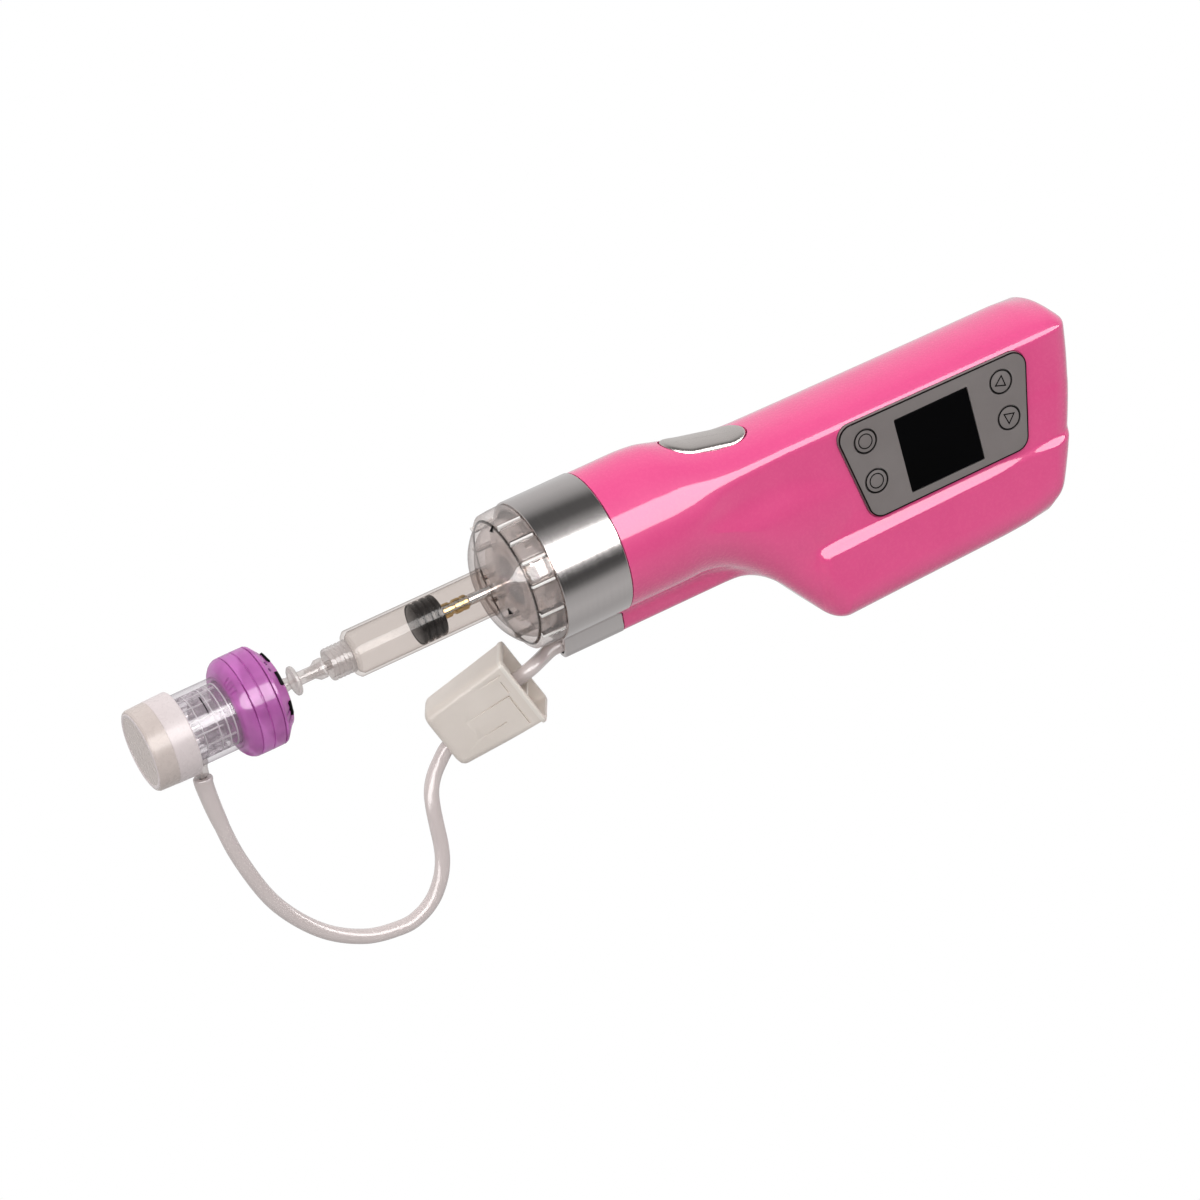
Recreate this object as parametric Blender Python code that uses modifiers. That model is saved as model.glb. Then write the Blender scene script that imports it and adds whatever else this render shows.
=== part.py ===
"""Handheld motor-driven syringe injector: a grip with a 5 ml syringe, a needle cup under
vacuum and its filter.  Blender units are metres, +Z up; all sizes below are millimetres.

The pieces are laid out with X along the syringe, needles toward -X, the control panel on
the -Y side and the origin on the syringe axis at the front face of the metal collar.  The
empty "grip_base" then carries them all, so that the middle of the grip's flat underside
lands on the world origin."""

import math

import bmesh
import bpy
import numpy as np
from mathutils import Matrix, Vector

MM = 0.001
TAU = 2 * math.pi
X_AXIS, Y_AXIS, Z_AXIS = (1, 0, 0), (0, 1, 0), (0, 0, 1)

# ---- driving dimensions --------------------------------------------------------------
FIT = 0.3                  # gap between neighbouring pieces
COLLAR_R, COLLAR_LEN = 21.36, 21.1
BARREL_R = 21.1            # pink barrel behind the collar
BODY_FRONT = COLLAR_LEN + FIT
WALL = 2.0
SEAM_Y = 12.5              # parting plane of the +Y cover
KEEL_Z, KEEL_R = -24.3, 4.3
CHANNEL_Z = -24.8          # axis of the tube channel through the collar
SYRINGE_R, SYRINGE_BORE = 7.0, 6.3
STOPPER_FRONT, STOPPER_REAR, RIB_PITCH = -37.7, -29.5, 2.1
ROD_R = 1.6
SCREW_Z = -11.0
LEAD = 3.0                 # travel of the pusher per turn of the screw
MODULE, GEAR_TEETH, PINION_TEETH = 0.6, 30, 12
MOTOR_Z = SCREW_Z - MODULE * (GEAR_TEETH + PINION_TEETH) / 2
GUIDE = (7.4, -4.5)        # y, z of the guide rod
GUIDE_HOLE_R = 1.5
CARRIAGE_FRONT, CARRIAGE_REAR = 45.5, 54.5
CUP_R, HUB_R = 10.75, 14.75
NIPPLE_X = -109.4          # side nipple of the needle cup
TUBE_R, TUBE_BORE = 2.2, 1.3
PANEL_Y = -16.3            # outer face of the control panel
SOCKET_X, SOCKET_Z = 170.2, -22.0
PUMP_Z = -20.5
BATTERY_Z = -39.7
POSTS = [(161.2, -6.0), (152.4, -40.0), (91.5, -42.0), (88.2, 3.2)]     # x, z

# ---- scene, collections, materials ---------------------------------------------------
for old in list(bpy.data.objects):
    bpy.data.objects.remove(old, do_unlink=True)
PARTS = bpy.data.collections.new("syringe_injector")
CUTTERS = bpy.data.collections.new("cutters")
for group in (PARTS, CUTTERS):
    bpy.context.scene.collection.children.link(group)
CUTTERS.hide_render = True

# name: (base colour, roughness, metallic)
FINISHES = {
    "pink_gloss": ((0.80, 0.105, 0.30), 0.15, 0),
    "satin_steel": ((0.42, 0.39, 0.38), 0.35, 1),
    "smoky_clear": ((0.60, 0.53, 0.50), 0.08, 0),
    "clear_plastic": ((0.72, 0.68, 0.66), 0.10, 0),
    "cap_plastic": ((0.57, 0.50, 0.45), 0.35, 0),
    "purple_clear": ((0.48, 0.10, 0.48), 0.2, 0),
    "black_rubber": ((0.012, 0.012, 0.012), 0.4, 0),
    "brass": ((0.55, 0.38, 0.13), 0.3, 1),
    "chrome": ((0.60, 0.60, 0.60), 0.12, 1),
    "panel_grey": ((0.22, 0.20, 0.195), 0.45, 0),
    "screen_black": ((0.003, 0.003, 0.003), 0.1, 0),
    "tube_silicone": ((0.52, 0.46, 0.44), 0.3, 0),
    "beige_plastic": ((0.62, 0.57, 0.50), 0.4, 0),
    "zinc_steel": ((0.45, 0.46, 0.48), 0.35, 1),
    "white_nylon": ((0.75, 0.74, 0.70), 0.45, 0),
    "black_plastic": ((0.02, 0.02, 0.022), 0.5, 0),
    "board_green": ((0.02, 0.16, 0.06), 0.5, 0),
    "battery_wrap": ((0.05, 0.12, 0.40), 0.35, 0),
}


def make_finish(name, colour, roughness, metallic):
    made = bpy.data.materials.new(name)
    made.use_nodes = True
    shader = made.node_tree.nodes["Principled BSDF"]
    shader.inputs["Base Color"].default_value = (*colour, 1)
    shader.inputs["Roughness"].default_value = roughness
    shader.inputs["Metallic"].default_value = metallic
    return made


MATERIALS = {name: make_finish(name, *values) for name, values in FINISHES.items()}


# ---- helpers: every shape without a material is a hidden cutter or joiner -------------
def shift(x, y, z):
    return Matrix.Translation(Vector((x, y, z)) * MM)


def place(name, data, material=None):
    made = bpy.data.objects.new(name, data)
    if material:
        PARTS.objects.link(made)
        data.materials.append(MATERIALS[material])
    else:
        CUTTERS.objects.link(made)
        made.hide_render = True
        made.display_type = "WIRE"
    return made


def empty(name, frame):
    made = bpy.data.objects.new(name, None)
    PARTS.objects.link(made)
    made.matrix_world = frame
    return made


def mesh_from(name, cage):
    mesh = bpy.data.meshes.new(name)
    cage.to_mesh(mesh)
    cage.free()
    return mesh


def bevel_edges(made, width, segments=1):
    edge = made.modifiers.new("edge", "BEVEL")
    edge.width = width * MM
    edge.segments = segments
    edge.limit_method = "ANGLE"
    return edge


def lathe(name, profile, steps, material=None, at=(0, 0)):
    """A closed (x, radius) outline turned about the X line through y, z = `at`."""
    area = sum(a[0] * b[1] - b[0] * a[1] for a, b in zip(profile, profile[1:] + profile[:1]))
    points = profile if area < 0 else profile[::-1]
    count = len(points)
    on_axis = [i for i, point in enumerate(points) if point[1] < 1e-9]
    if len(on_axis) == 2:
        # a solid shape: the stretch on the axis is left open
        first = next(i for i in on_axis if (i + 1) % count not in on_axis)
        points = points[first:] + points[:first]
        edges = [(i, i + 1) for i in range(count - 1)]
    else:
        edges = [(i, (i + 1) % count) for i in range(count)]
    mesh = bpy.data.meshes.new(name)
    mesh.from_pydata([(x * MM, 0, radius * MM) for x, radius in points], edges, [])
    made = place(name, mesh, material)
    made.location = Vector((0, *at)) * MM
    screw = made.modifiers.new("turn", "SCREW")
    screw.axis = "X"
    screw.angle = TAU
    screw.steps = screw.render_steps = steps
    screw.use_merge_vertices = True
    screw.merge_threshold = 0.00001
    screw.use_smooth_shade = True
    screw.use_normal_calculate = True
    # the surface is flipped if it came out facing inward
    bpy.context.view_layer.update()
    turned = made.evaluated_get(bpy.context.evaluated_depsgraph_get())
    cage = bmesh.new()
    cage.from_mesh(turned.to_mesh())
    screw.use_normal_flip = cage.calc_volume(signed=True) < 0
    cage.free()
    turned.to_mesh_clear()
    return made


def rod(name, start, end, radius, material=None, at=(0, 0), steps=13, bore=0.0, edge=0.0):
    """A round bar along X, hollow if it has a bore, its rims chamfered by `edge`."""
    profile = [(start, bore), (start, radius - edge), (start + edge, radius),
               (end - edge, radius), (end, radius - edge), (end, bore)]
    if not edge:
        del profile[2:4]
    return lathe(name, profile, steps, material, at)


def box(name, low, high, material=None, bevel=0.0, frame=Matrix()):
    cage = bmesh.new()
    bmesh.ops.create_cube(cage, size=1)
    size = [(h - l) * MM for l, h in zip(low, high)]
    bmesh.ops.scale(cage, vec=size, verts=cage.verts)
    made = place(name, mesh_from(name, cage), material)
    made.matrix_world = frame @ shift(*[(h + l) / 2 for l, h in zip(low, high)])
    if bevel:
        bevel_edges(made, bevel)
    return made


def drum(name, centre, radius, depth, axis, material=None, sides=16, bevel=0.0, frame=Matrix()):
    """A cylinder along any axis, centred at `centre`."""
    cage = bmesh.new()
    bmesh.ops.create_cone(cage, cap_ends=True, segments=sides, radius1=radius * MM,
                          radius2=radius * MM, depth=depth * MM)
    made = place(name, mesh_from(name, cage), material)
    turn = Vector(Z_AXIS).rotation_difference(Vector(axis)).to_matrix().to_4x4()
    made.matrix_world = frame @ shift(*centre) @ turn
    if bevel:
        bevel_edges(made, bevel)
    return made


def as_mesh(made):
    """The object with its curve turned into a plain mesh, its placing kept."""
    bpy.context.view_layer.update()
    graph = bpy.context.evaluated_depsgraph_get()
    mesh = bpy.data.meshes.new_from_object(made.evaluated_get(graph))
    world = made.matrix_world.copy()
    cage = bmesh.new()
    cage.from_mesh(mesh)
    bmesh.ops.remove_doubles(cage, verts=cage.verts, dist=1e-6)
    bmesh.ops.recalc_face_normals(cage, faces=cage.faces)
    cage.to_mesh(mesh)
    cage.free()
    name = made.name
    material = mesh.materials[0].name if len(mesh.materials) else None
    mesh.materials.clear()
    bpy.data.objects.remove(made, do_unlink=True)
    again = place(name, mesh, material)
    again.matrix_world = world
    return again


def plate(name, ring, thick, frame, material=None, holes=()):
    """A flat outline in the XY plane of `frame`, `thick` deep and centred on that plane."""
    flat = bpy.data.curves.new(name, "CURVE")
    flat.dimensions = "2D"
    flat.fill_mode = "BOTH"
    flat.extrude = thick / 2 * MM
    for loop in (ring, *holes):
        spline = flat.splines.new("POLY")
        spline.points.add(len(loop) - 1)
        for slot, (x, y) in zip(spline.points, loop):
            slot.co = (x * MM, y * MM, 0, 1)
        spline.use_cyclic_u = True
    made = place(name, flat, material)
    made.matrix_world = frame
    return as_mesh(made)


def wire(name, path, radius, material=None, resolution=2):
    line = bpy.data.curves.new(name, "CURVE")
    line.dimensions = "3D"
    line.bevel_depth = radius * MM
    line.bevel_resolution = resolution
    line.use_fill_caps = True
    spline = line.splines.new("POLY")
    spline.points.add(len(path) - 1)
    for slot, (x, y, z) in zip(spline.points, path):
        slot.co = (x * MM, y * MM, z * MM, 1)
    return place(name, line, material)


def skin_rings(name, rings, fan_end=False):
    """A closed mesh through rings of points, its last ring capped flat or by a fan."""
    cage = bmesh.new()
    rows = [[cage.verts.new(Vector(point) * MM) for point in ring] for ring in rings]
    count = len(rows[0])
    for a, b in zip(rows, rows[1:]):
        for i in range(count):
            j = (i + 1) % count
            cage.faces.new((a[i], a[j], b[j], b[i]))
    cage.faces.new(rows[0][::-1])
    last = rows[-1]
    if fan_end:
        tip = cage.verts.new(sum((vert.co for vert in last), Vector()) / count)
        for i in range(count):
            cage.faces.new((last[i], last[(i + 1) % count], tip))
    else:
        cage.faces.new(last)
    bmesh.ops.recalc_face_normals(cage, faces=cage.faces)
    return mesh_from(name, cage)


def combine(made, others, how):
    for other in others:
        step = made.modifiers.new(how.lower(), "BOOLEAN")
        step.operation = how
        step.solver = "EXACT"
        step.object = other
    return made


def cut(made, *others):
    return combine(made, others, "DIFFERENCE")


def join(made, *others):
    return combine(made, others, "UNION")


def shade_smooth(mesh):
    for face in mesh.polygons:
        face.use_smooth = True


def stadium(length, width, count=8):
    """Two half circles joined by straight sides, long along X."""
    radius, reach = width / 2, (length - width) / 2
    ring = []
    for side, start in ((1, -90), (-1, 90)):
        for i in range(count + 1):
            angle = math.radians(start + 180 * i / count)
            ring.append((side * reach + radius * math.cos(angle), radius * math.sin(angle)))
    return ring


def rounded(corners, radius, count=4):
    """A polygon with each corner replaced by an arc."""
    ring = []
    for i, point in enumerate(corners):
        here = Vector(point)
        before = (Vector(corners[i - 1]) - here).normalized()
        after = (Vector(corners[(i + 1) % len(corners)]) - here).normalized()
        half = math.acos(max(-1, min(1, before.dot(after)))) / 2
        reach = radius / math.tan(half)
        middle = here + (before + after).normalized() * (radius / math.sin(half))
        a = (here + before * reach) - middle
        b = (here + after * reach) - middle
        turn = math.atan2(a.x * b.y - a.y * b.x, a.dot(b))
        for k in range(count + 1):
            cos, sin = math.cos(turn * k / count), math.sin(turn * k / count)
            ring.append((middle.x + a.x * cos - a.y * sin, middle.y + a.x * sin + a.y * cos))
    return ring


def smooth_path(keys, per):
    """A Catmull-Rom line through the key points, `per` steps between two keys."""
    knots = [np.array(key, float) for key in keys]
    knots = [2 * knots[0] - knots[1]] + knots + [2 * knots[-1] - knots[-2]]
    path = []
    for a, b, c, d in zip(knots, knots[1:], knots[2:], knots[3:]):
        for step in range(per):
            t = step / per
            path.append(0.5 * (2 * b + (c - a) * t + (2 * a - 5 * b + 4 * c - d) * t * t
                               + (3 * b - a - 3 * c + d) * t ** 3))
    return [tuple(point) for point in path] + [tuple(knots[-2])]


def hose(name, keys, per, radius=TUBE_R, bore=TUBE_BORE):
    """A silicone tube; its bore runs on past both ends so that they come out open."""
    overrun = 1.5
    path = smooth_path(keys, per)
    made = as_mesh(wire(name, path, radius, "tube_silicone"))
    shade_smooth(made.data)

    def beyond(end, inner):
        end = Vector(end)
        return tuple(end + (end - Vector(inner)).normalized() * overrun)

    longer = [beyond(path[0], path[1])] + path + [beyond(path[-1], path[-2])]
    return cut(made, as_mesh(wire(name + "_bore", longer, bore, resolution=1)))


# ---- the body's outer skin, as a distance rule (negative inside) -----------------------
# (x, value) stations
TOP_LINE = [(20, BARREL_R), (35, BARREL_R), (42, 20.6), (49, 18.7), (55, 16.8), (61, 15.1),
            (68, 13.9), (76, 13.3), (100, 13.0), (130, 12.7), (180, 12.4)]
HALF_LINE = [(20, BARREL_R), (38, BARREL_R), (48, 20.0), (58, 17.6), (68, 16.1), (78, 15.6),
             (90, 15.5), (180, 15.4)]                       # half width in Y
CROWN_LINE = [(20, 0.0), (34, 0.2), (45, 1.6), (58, 4.2), (70, 5.8), (80, 6.2),
              (180, 6.2)]                                   # height where the top arch springs
SHOULDER_R = [(20, 21.1), (34, 22.0), (42, 26.0), (50, 18.5), (56, 12.0), (63, 8.0), (180, 8.0)]
SHOULDER_Y = [(20, 18.63), (36, 18.6), (42, 18.2), (50, 17.1), (60, 15.9), (70, 15.15),
              (80, 14.85), (180, 14.75)]
SHOULDER_Z = [(20, 9.9), (36, 9.95), (42, 10.4), (50, 10.6), (60, 10.0), (70, 9.5),
              (80, 9.3), (180, 9.1)]
SHELF_HIGH = [(78, 4.4), (100, 4.0), (140, 3.3), (180, 3.2)]
SHELF_DEEP = [(78, 0.0), (84, 1.9), (100, 1.75), (138, 1.4), (151, 0.7), (157, 0.7),
              (160.5, 1.35), (180, 1.4)]
SHELF_Z = -23.8                     # top of the step below the keypad
SHOULDER_NORMAL = (0.883, 0.469)    # y, z of the line from the shoulder arc's centre
REAR_X, REAR_Z, REAR_TILT = 170.7, -18.0, math.radians(15.2)
REAR_BULGE = 330.0                  # twice the radius of the rear face's bow
REAR_EDGE_R = 8.0
FLOOR_X, FLOOR_Z, FLOOR_SLOPE = 92.0, -50.4, 0.0254
FOOT_X = 82.3                       # where the grip's slanted front meets the floor level
FOOT_NORMAL = (-0.80, -0.60)        # x, z


def along(x, keys):
    """Monotone cubic through (x, value) keys."""
    xs, values = np.array(keys, float).T
    gap = np.diff(xs)
    rise = np.diff(values) / gap
    slope = np.zeros(len(xs))
    same = rise[:-1] * rise[1:] > 0
    slope[1:-1][same] = 2 * rise[:-1][same] * rise[1:][same] / (rise[:-1][same] + rise[1:][same])
    x = np.clip(x, xs[0], xs[-1])
    i = np.clip(np.searchsorted(xs, x) - 1, 0, len(gap) - 1)
    t = (x - xs[i]) / gap[i]
    return ((2 * t ** 3 - 3 * t ** 2 + 1) * values[i]
            + (t ** 3 - 2 * t ** 2 + t) * gap[i] * slope[i]
            + (-2 * t ** 3 + 3 * t ** 2) * values[i + 1]
            + (t ** 3 - t ** 2) * gap[i] * slope[i + 1])


def ramp(t):
    return np.clip(t, 0, 1)


def ease(t):
    """A ramp from 0 to 1 that starts and ends level."""
    t = ramp(t)
    return t ** 2 * (3 - 2 * t)


def blend(a, b, reach):
    """The inside of either surface, with a fillet of size `reach` between them."""
    share = ramp(0.5 + 0.5 * (b - a) / reach)
    return b * (1 - share) + a * share - reach * share * (1 - share)


def corner(a, b, radius):
    """The inside of both surfaces, their shared edge rounded."""
    u, v = a + radius, b + radius
    outside = np.sqrt(np.maximum(u, 0) ** 2 + np.maximum(v, 0) ** 2)
    return np.minimum(np.maximum(u, v), 0) + outside - radius


def oval(y, z, half_y, half_z):
    rho = np.sqrt((y / half_y) ** 2 + (z / half_z) ** 2) + 1e-9
    return (rho - 1) * rho / (np.sqrt((y / half_y ** 2) ** 2 + (z / half_z ** 2) ** 2) + 1e-9)


def rear_face(x, z):
    """A tilted, slightly bowed face that closes the grip at +X."""
    cos, sin = math.cos(REAR_TILT), math.sin(REAR_TILT)
    dx, dz = x - REAR_X, z - REAR_Z
    up_face = dx * sin + dz * cos
    return dx * cos - dz * sin + up_face * up_face / REAR_BULGE


def upper_beam(x, y, z):
    """The round barrel running back into the top of the grip, with its keel."""
    top, half, crown = along(x, TOP_LINE), along(x, HALF_LINE), along(x, CROWN_LINE)
    low = -14.0 * ease((x - 45) / 35)
    arch = oval(y, z - crown, half, top - crown)
    under = oval(y, z - low, half, BARREL_R + low * 0.2)
    beam = np.where(z > crown, arch, np.where(z < low, under, np.abs(y) - half))
    # a softly chamfered shoulder that grows out of the round barrel
    radius = along(x, SHOULDER_R)
    shoulder = corner(np.abs(y) - along(x, SHOULDER_Y) + SHOULDER_NORMAL[0] * radius - radius,
                      z - along(x, SHOULDER_Z) + SHOULDER_NORMAL[1] * radius - radius, radius)
    shoulder = shoulder - 2.0 * (1 - ramp((x - 36) / 10)) ** 2
    beam = -blend(-beam, -shoulder, 1.0)
    keel = np.sqrt(y ** 2 + (z - KEEL_Z) ** 2) - KEEL_R
    return blend(beam, keel, 5.0)


def lower_block(x, y, z):
    """The deep part of the grip, a little wider below the keypad."""
    front = (x - FOOT_X) * FOOT_NORMAL[0] + (z - FLOOR_Z) * FOOT_NORMAL[1]
    floor = (x - FLOOR_X) * FLOOR_SLOPE - (z - FLOOR_Z)
    side_view = corner(front, floor, 3.5)
    side_view = corner(side_view, z + 2.0, 3.0)
    belly = along(x, SHELF_DEEP) * ease((SHELF_Z - z) / along(x, SHELF_HIGH))
    return corner(side_view, np.abs(y) - along(x, HALF_LINE) - belly, 9.5)


def skin(x, y, z):
    fillet = 5.5 - 5.0 * ramp((x - 76) / 18)
    body = blend(upper_beam(x, y, z), lower_block(x, y, z), fillet)
    return corner(body, rear_face(x, z), REAR_EDGE_R)


def loft_stations(offset, count, front):
    """X of each section: close together where the shape changes and round the rear edge."""
    ends = max(3, count // 6)
    stations = [*np.linspace(front, 48, ends), *np.linspace(48, 98, count // 2)[1:],
                *np.linspace(98, 155, ends)[1:]]
    rear = [REAR_X - offset - REAR_EDGE_R + REAR_EDGE_R * math.sin(angle)
            for angle in np.linspace(0.0, math.pi / 2, 4)]
    rear[-1] -= 0.02    # just inside the skin, so the last section has some size
    return [x for x in stations if x < rear[0] - 3] + rear


def loft(name, offset, count, front, material=None):
    """The skin moved inward by `offset`, through sections of `count` points that lean
    over to the rear face's tilt.  Each point is found by halving along a ray."""
    rings = []
    angle = np.arange(count) * TAU / count
    for station in loft_stations(offset, count, front):
        tilt = REAR_TILT * ramp((station - 98) / 55) ** 1.5
        centre_z = -18.0 * ramp((station - 46) / 40)
        low = -26 - 26 * ramp((station - 55) / 35)
        tall = (along(station, TOP_LINE) - low) / 2
        across, up = along(station, HALF_LINE) * np.sin(angle), tall * np.cos(angle)
        size = np.hypot(across, up)
        across, up = across / size, up / size

        def on_ray(reach):
            return (station + up * reach * math.sin(tilt), across * reach,
                    centre_z + up * reach * math.cos(tilt))

        near, far = np.zeros(count), np.full(count, 60.0)
        for _ in range(34):
            mid = (near + far) / 2
            inside = skin(*on_ray(mid)) + offset < 0
            near, far = np.where(inside, mid, near), np.where(inside, far, mid)
        # only the height leans with the tilt cosine; the width stays square to it
        rings.append(np.stack(on_ray(near), 1))
    mesh = skin_rings(name, rings, fan_end=True)
    shade_smooth(mesh)
    return place(name, mesh, material)


# ---- body shells ---------------------------------------------------------------------
TRIGGER_LEN, TRIGGER_WIDE = 26.0, 14.4
# the middle of the trigger's face, tilted down toward +X
TRIGGER_FRAME = shift(61.0, 0, 15.3) @ Matrix.Rotation(math.radians(14.5), 4, "Y")
PANEL_HOLE_CORNERS = [(93.2, 8.0), (159.0, 7.3), (152.2, -23.2), (98.8, -23.6)]     # x, z
PANEL_CORNERS = [(93.5, 7.7), (158.65, 7.0), (151.95, -22.9), (99.05, -23.3)]       # x, z
HOSE_Z = KEEL_Z - 0.4
HOSE = [(16.0, 0, HOSE_Z), (19.5, 0, HOSE_Z), (30, 0, -24.4), (50, 0, -24.4),
        (60, 1.0, -24.9), (70, 5.0, -27.6), (80, 9.6, -31.2), (95, 10.7, -31.5),
        (130, 10.7, -31.0), (146, 10.3, -27.0), (151, 9.9, -21.0)]
SHELL_COUNT, CAVITY_COUNT = 28, 16      # points per section
CAVITY_FRONT = BODY_FRONT - 6


def facing_side(y):
    """A frame whose XY plane is the XZ plane at `y`."""
    return shift(0, y, 0) @ Matrix.Rotation(math.pi / 2, 4, "X")


def body_shell_left():
    """The main shell, with the panel, trigger and socket openings and the screw posts."""
    cavity = loft("posted_skin", WALL, CAVITY_COUNT, CAVITY_FRONT)
    for n, (x, z) in enumerate(POSTS):
        cut(cavity, drum(f"post_{n}", (x, -4, z), 2.3, 44, Y_AXIS, sides=10))
    channel_path = [(12.0, 0, HOSE_Z)] + smooth_path(HOSE, 2)[2:16]
    shell = loft("body_shell_left", 0.0, SHELL_COUNT, BODY_FRONT, "pink_gloss")
    cut(shell, cavity,
        box("side_of_cover", (0, SEAM_Y, -70), (190, 40, 40)),
        plate("panel_hole", rounded(PANEL_HOLE_CORNERS, 4.9), 12, facing_side(-14)),
        plate("trigger_hole", stadium(TRIGGER_LEN + 0.8, TRIGGER_WIDE + 0.8), 16,
              TRIGGER_FRAME @ shift(0, 0, 2)),
        box("socket_hole", (SOCKET_X - 8, -4.9, SOCKET_Z - 2.3),
            (SOCKET_X + 8, 4.9, SOCKET_Z + 2.3)),
        as_mesh(wire("hose_channel", channel_path, 2.25)))
    for n, (x, z) in enumerate(POSTS):
        cut(shell, drum(f"post_hole_{n}", (x, SEAM_Y - 4, z), 1.3, 10, Y_AXIS, sides=8))


def body_shell_right():
    """The +Y cover, with sunk screw holes."""
    shell = loft("body_shell_right", 0.0, SHELL_COUNT, BODY_FRONT, "pink_gloss")
    cut(shell, loft("inner_skin", WALL, CAVITY_COUNT, CAVITY_FRONT),
        box("side_of_body", (0, -40, -70), (190, SEAM_Y + FIT, 40)))
    for n, (x, z) in enumerate(POSTS):
        cut(shell, drum(f"screw_hole_{n}", (x, 15, z), 1.35, 10, Y_AXIS, sides=10),
            drum(f"screw_sink_{n}", (x, 17.6, z), 2.4, 5.6, Y_AXIS, sides=12))


def case_screws():
    long, short = 1.3, 0.25     # half sizes of the cross slot
    for n, (x, z) in enumerate(POSTS):
        head = drum(f"case_screw_{n + 1}", (x, 15.7, z), 2.0, 1.0, Y_AXIS, "zinc_steel", sides=12)
        join(head, drum(f"shank_{n}", (x, 11.6, z), 1.0, 8.0, Y_AXIS, sides=8))
        cut(head, box(f"slot_a_{n}", (x - long, 15.8, z - short), (x + long, 17, z + short)),
            box(f"slot_b_{n}", (x - short, 15.8, z - long), (x + short, 17, z + long)))


# ---- collar and vacuum port ----------------------------------------------------------
def collar():
    profile = [(0.0, 19.3), (0.0, 20.9), (0.5, COLLAR_R), (COLLAR_LEN - 0.5, COLLAR_R),
               (COLLAR_LEN, 20.9), (COLLAR_LEN, 19.3)]
    cut(lathe("collar_ring", profile, 32, "satin_steel"),
        rod("channel_relief", -2, 24, 4.3, at=(0, CHANNEL_Z), steps=16))


def vacuum_port():
    channel = [(2.4, 2.7), (2.4, 3.7), (2.8, 4.0), (COLLAR_LEN, 4.0), (COLLAR_LEN, 2.7)]
    lathe("tube_port_channel", channel, 16, "satin_steel", (0, CHANNEL_Z))
    nipple = [(4.0, 0.4), (4.0, 0.6), (5.0, 0.75), (11.0, 0.75), (11.0, 2.3), (14.0, 2.3),
              (14.0, 0.75), (19.0, 0.75), (20.0, 0.6), (20.0, 0.4)]
    lathe("vacuum_nipple", nipple, 8, "zinc_steel", (0, CHANNEL_Z))


# ---- nose cap and syringe ------------------------------------------------------------
def nose_cap():
    """The clear dome round the syringe, with a ring of lugs."""
    cap = lathe("nose_cap", [
        (-14.2, 7.4), (-14.2, 9.0), (-13.7, 11.2), (-12.4, 14.0), (-9.6, 17.4), (-6.9, 19.4),
        (-6.4, 20.2), (-2.0, 20.9), (-0.3, 20.9), (-0.3, 18.9), (5.2, 18.9), (5.2, 17.3),
        (-6.2, 17.3), (-9.0, 15.4), (-11.2, 12.6), (-12.6, 9.6), (-12.6, 7.4)],
        32, "smoky_clear")
    lugs, first_angle = 12, 0.13
    for n in range(lugs):
        turn = Matrix.Rotation(n * TAU / lugs + first_angle, 4, "X")
        join(cap, box(f"cap_lug_{n}", (-6.0, -1.4, 19.6), (-0.8, 1.4, 21.3), frame=turn))


def syringe_barrel():
    lathe("syringe_barrel", [
        (-63.5, 0.55), (-65.8, 0.55), (-65.8, 1.25), (-58.9, 1.75), (-58.9, 3.9), (-65.0, 3.9),
        (-65.0, 4.7), (-58.4, 4.9), (-57.9, 6.6), (-57.2, SYRINGE_R), (-8.2, SYRINGE_R),
        (-8.2, 11.8), (-6.4, 11.8), (-6.4, SYRINGE_BORE), (-56.0, SYRINGE_BORE),
        (-57.4, 0.55)], 24, "clear_plastic")


def plunger_stopper():
    """A rubber stopper with four ribs and a groove between each two."""
    rib_r, groove_r = 6.0, 5.1
    first = STOPPER_FRONT + 0.3
    profile = [(STOPPER_FRONT, 0), (STOPPER_FRONT, 4.6), (first, rib_r)]
    for n in range(3):
        x = first + n * RIB_PITCH
        profile += [(x + 1.2, rib_r), (x + 1.45, groove_r), (x + 1.85, groove_r),
                    (x + RIB_PITCH, rib_r)]
    profile += [(STOPPER_REAR, rib_r), (STOPPER_REAR, 0)]
    lathe("plunger_stopper", profile, 19, "black_rubber")


def push_rod():
    lathe("rod_tip", [
        (-29.2, 0), (-29.2, 2.0), (-28.4, 2.2), (-26.0, 2.2), (-25.6, 1.9), (-25.0, 1.9),
        (-24.6, 2.2), (-20.6, 2.2), (-20.6, 0)], 13, "brass")
    rod("push_rod", -20.3, CARRIAGE_REAR - 0.5, ROD_R, "chrome", steps=10, edge=0.2)


def syringe_seat():
    lathe("syringe_seat", [
        (-5.9, 7.4), (-5.9, 16.3), (-5.4, 16.9), (22.6, 16.9), (22.6, 15.2), (-3.4, 15.2),
        (-3.4, 7.4)], 24, "chrome")


# ---- screw drive ---------------------------------------------------------------------
def drive_frame():
    frame = rod("drive_frame", 23.0, 26.0, 17.6, "zinc_steel", steps=21)
    join(frame, box("frame_rail", (25, 10.3, -8), (86.5, 12.5, 0)),
         box("frame_rear", (70, -10, -17), (73, 12.5, 4), bevel=1.5),
         box("frame_motor", (84, -8, -33), (86.5, 8, -2)),
         box("frame_link", (84, -8, -9), (86.5, 12.5, 0)))
    cut(frame, rod("rod_hole", 20, 30, ROD_R + FIT, steps=10),
        rod("front_bush_hole", 20, 30, 3.8, at=(0, SCREW_Z)),
        rod("rear_bearing_hole", 68, 75, 4.8, at=(0, SCREW_Z)),
        rod("guide_hole", 20, 78, GUIDE_HOLE_R, at=GUIDE, steps=8),
        rod("motor_hole", 82, 89, 1.7, at=(0, MOTOR_Z), steps=9))


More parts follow.
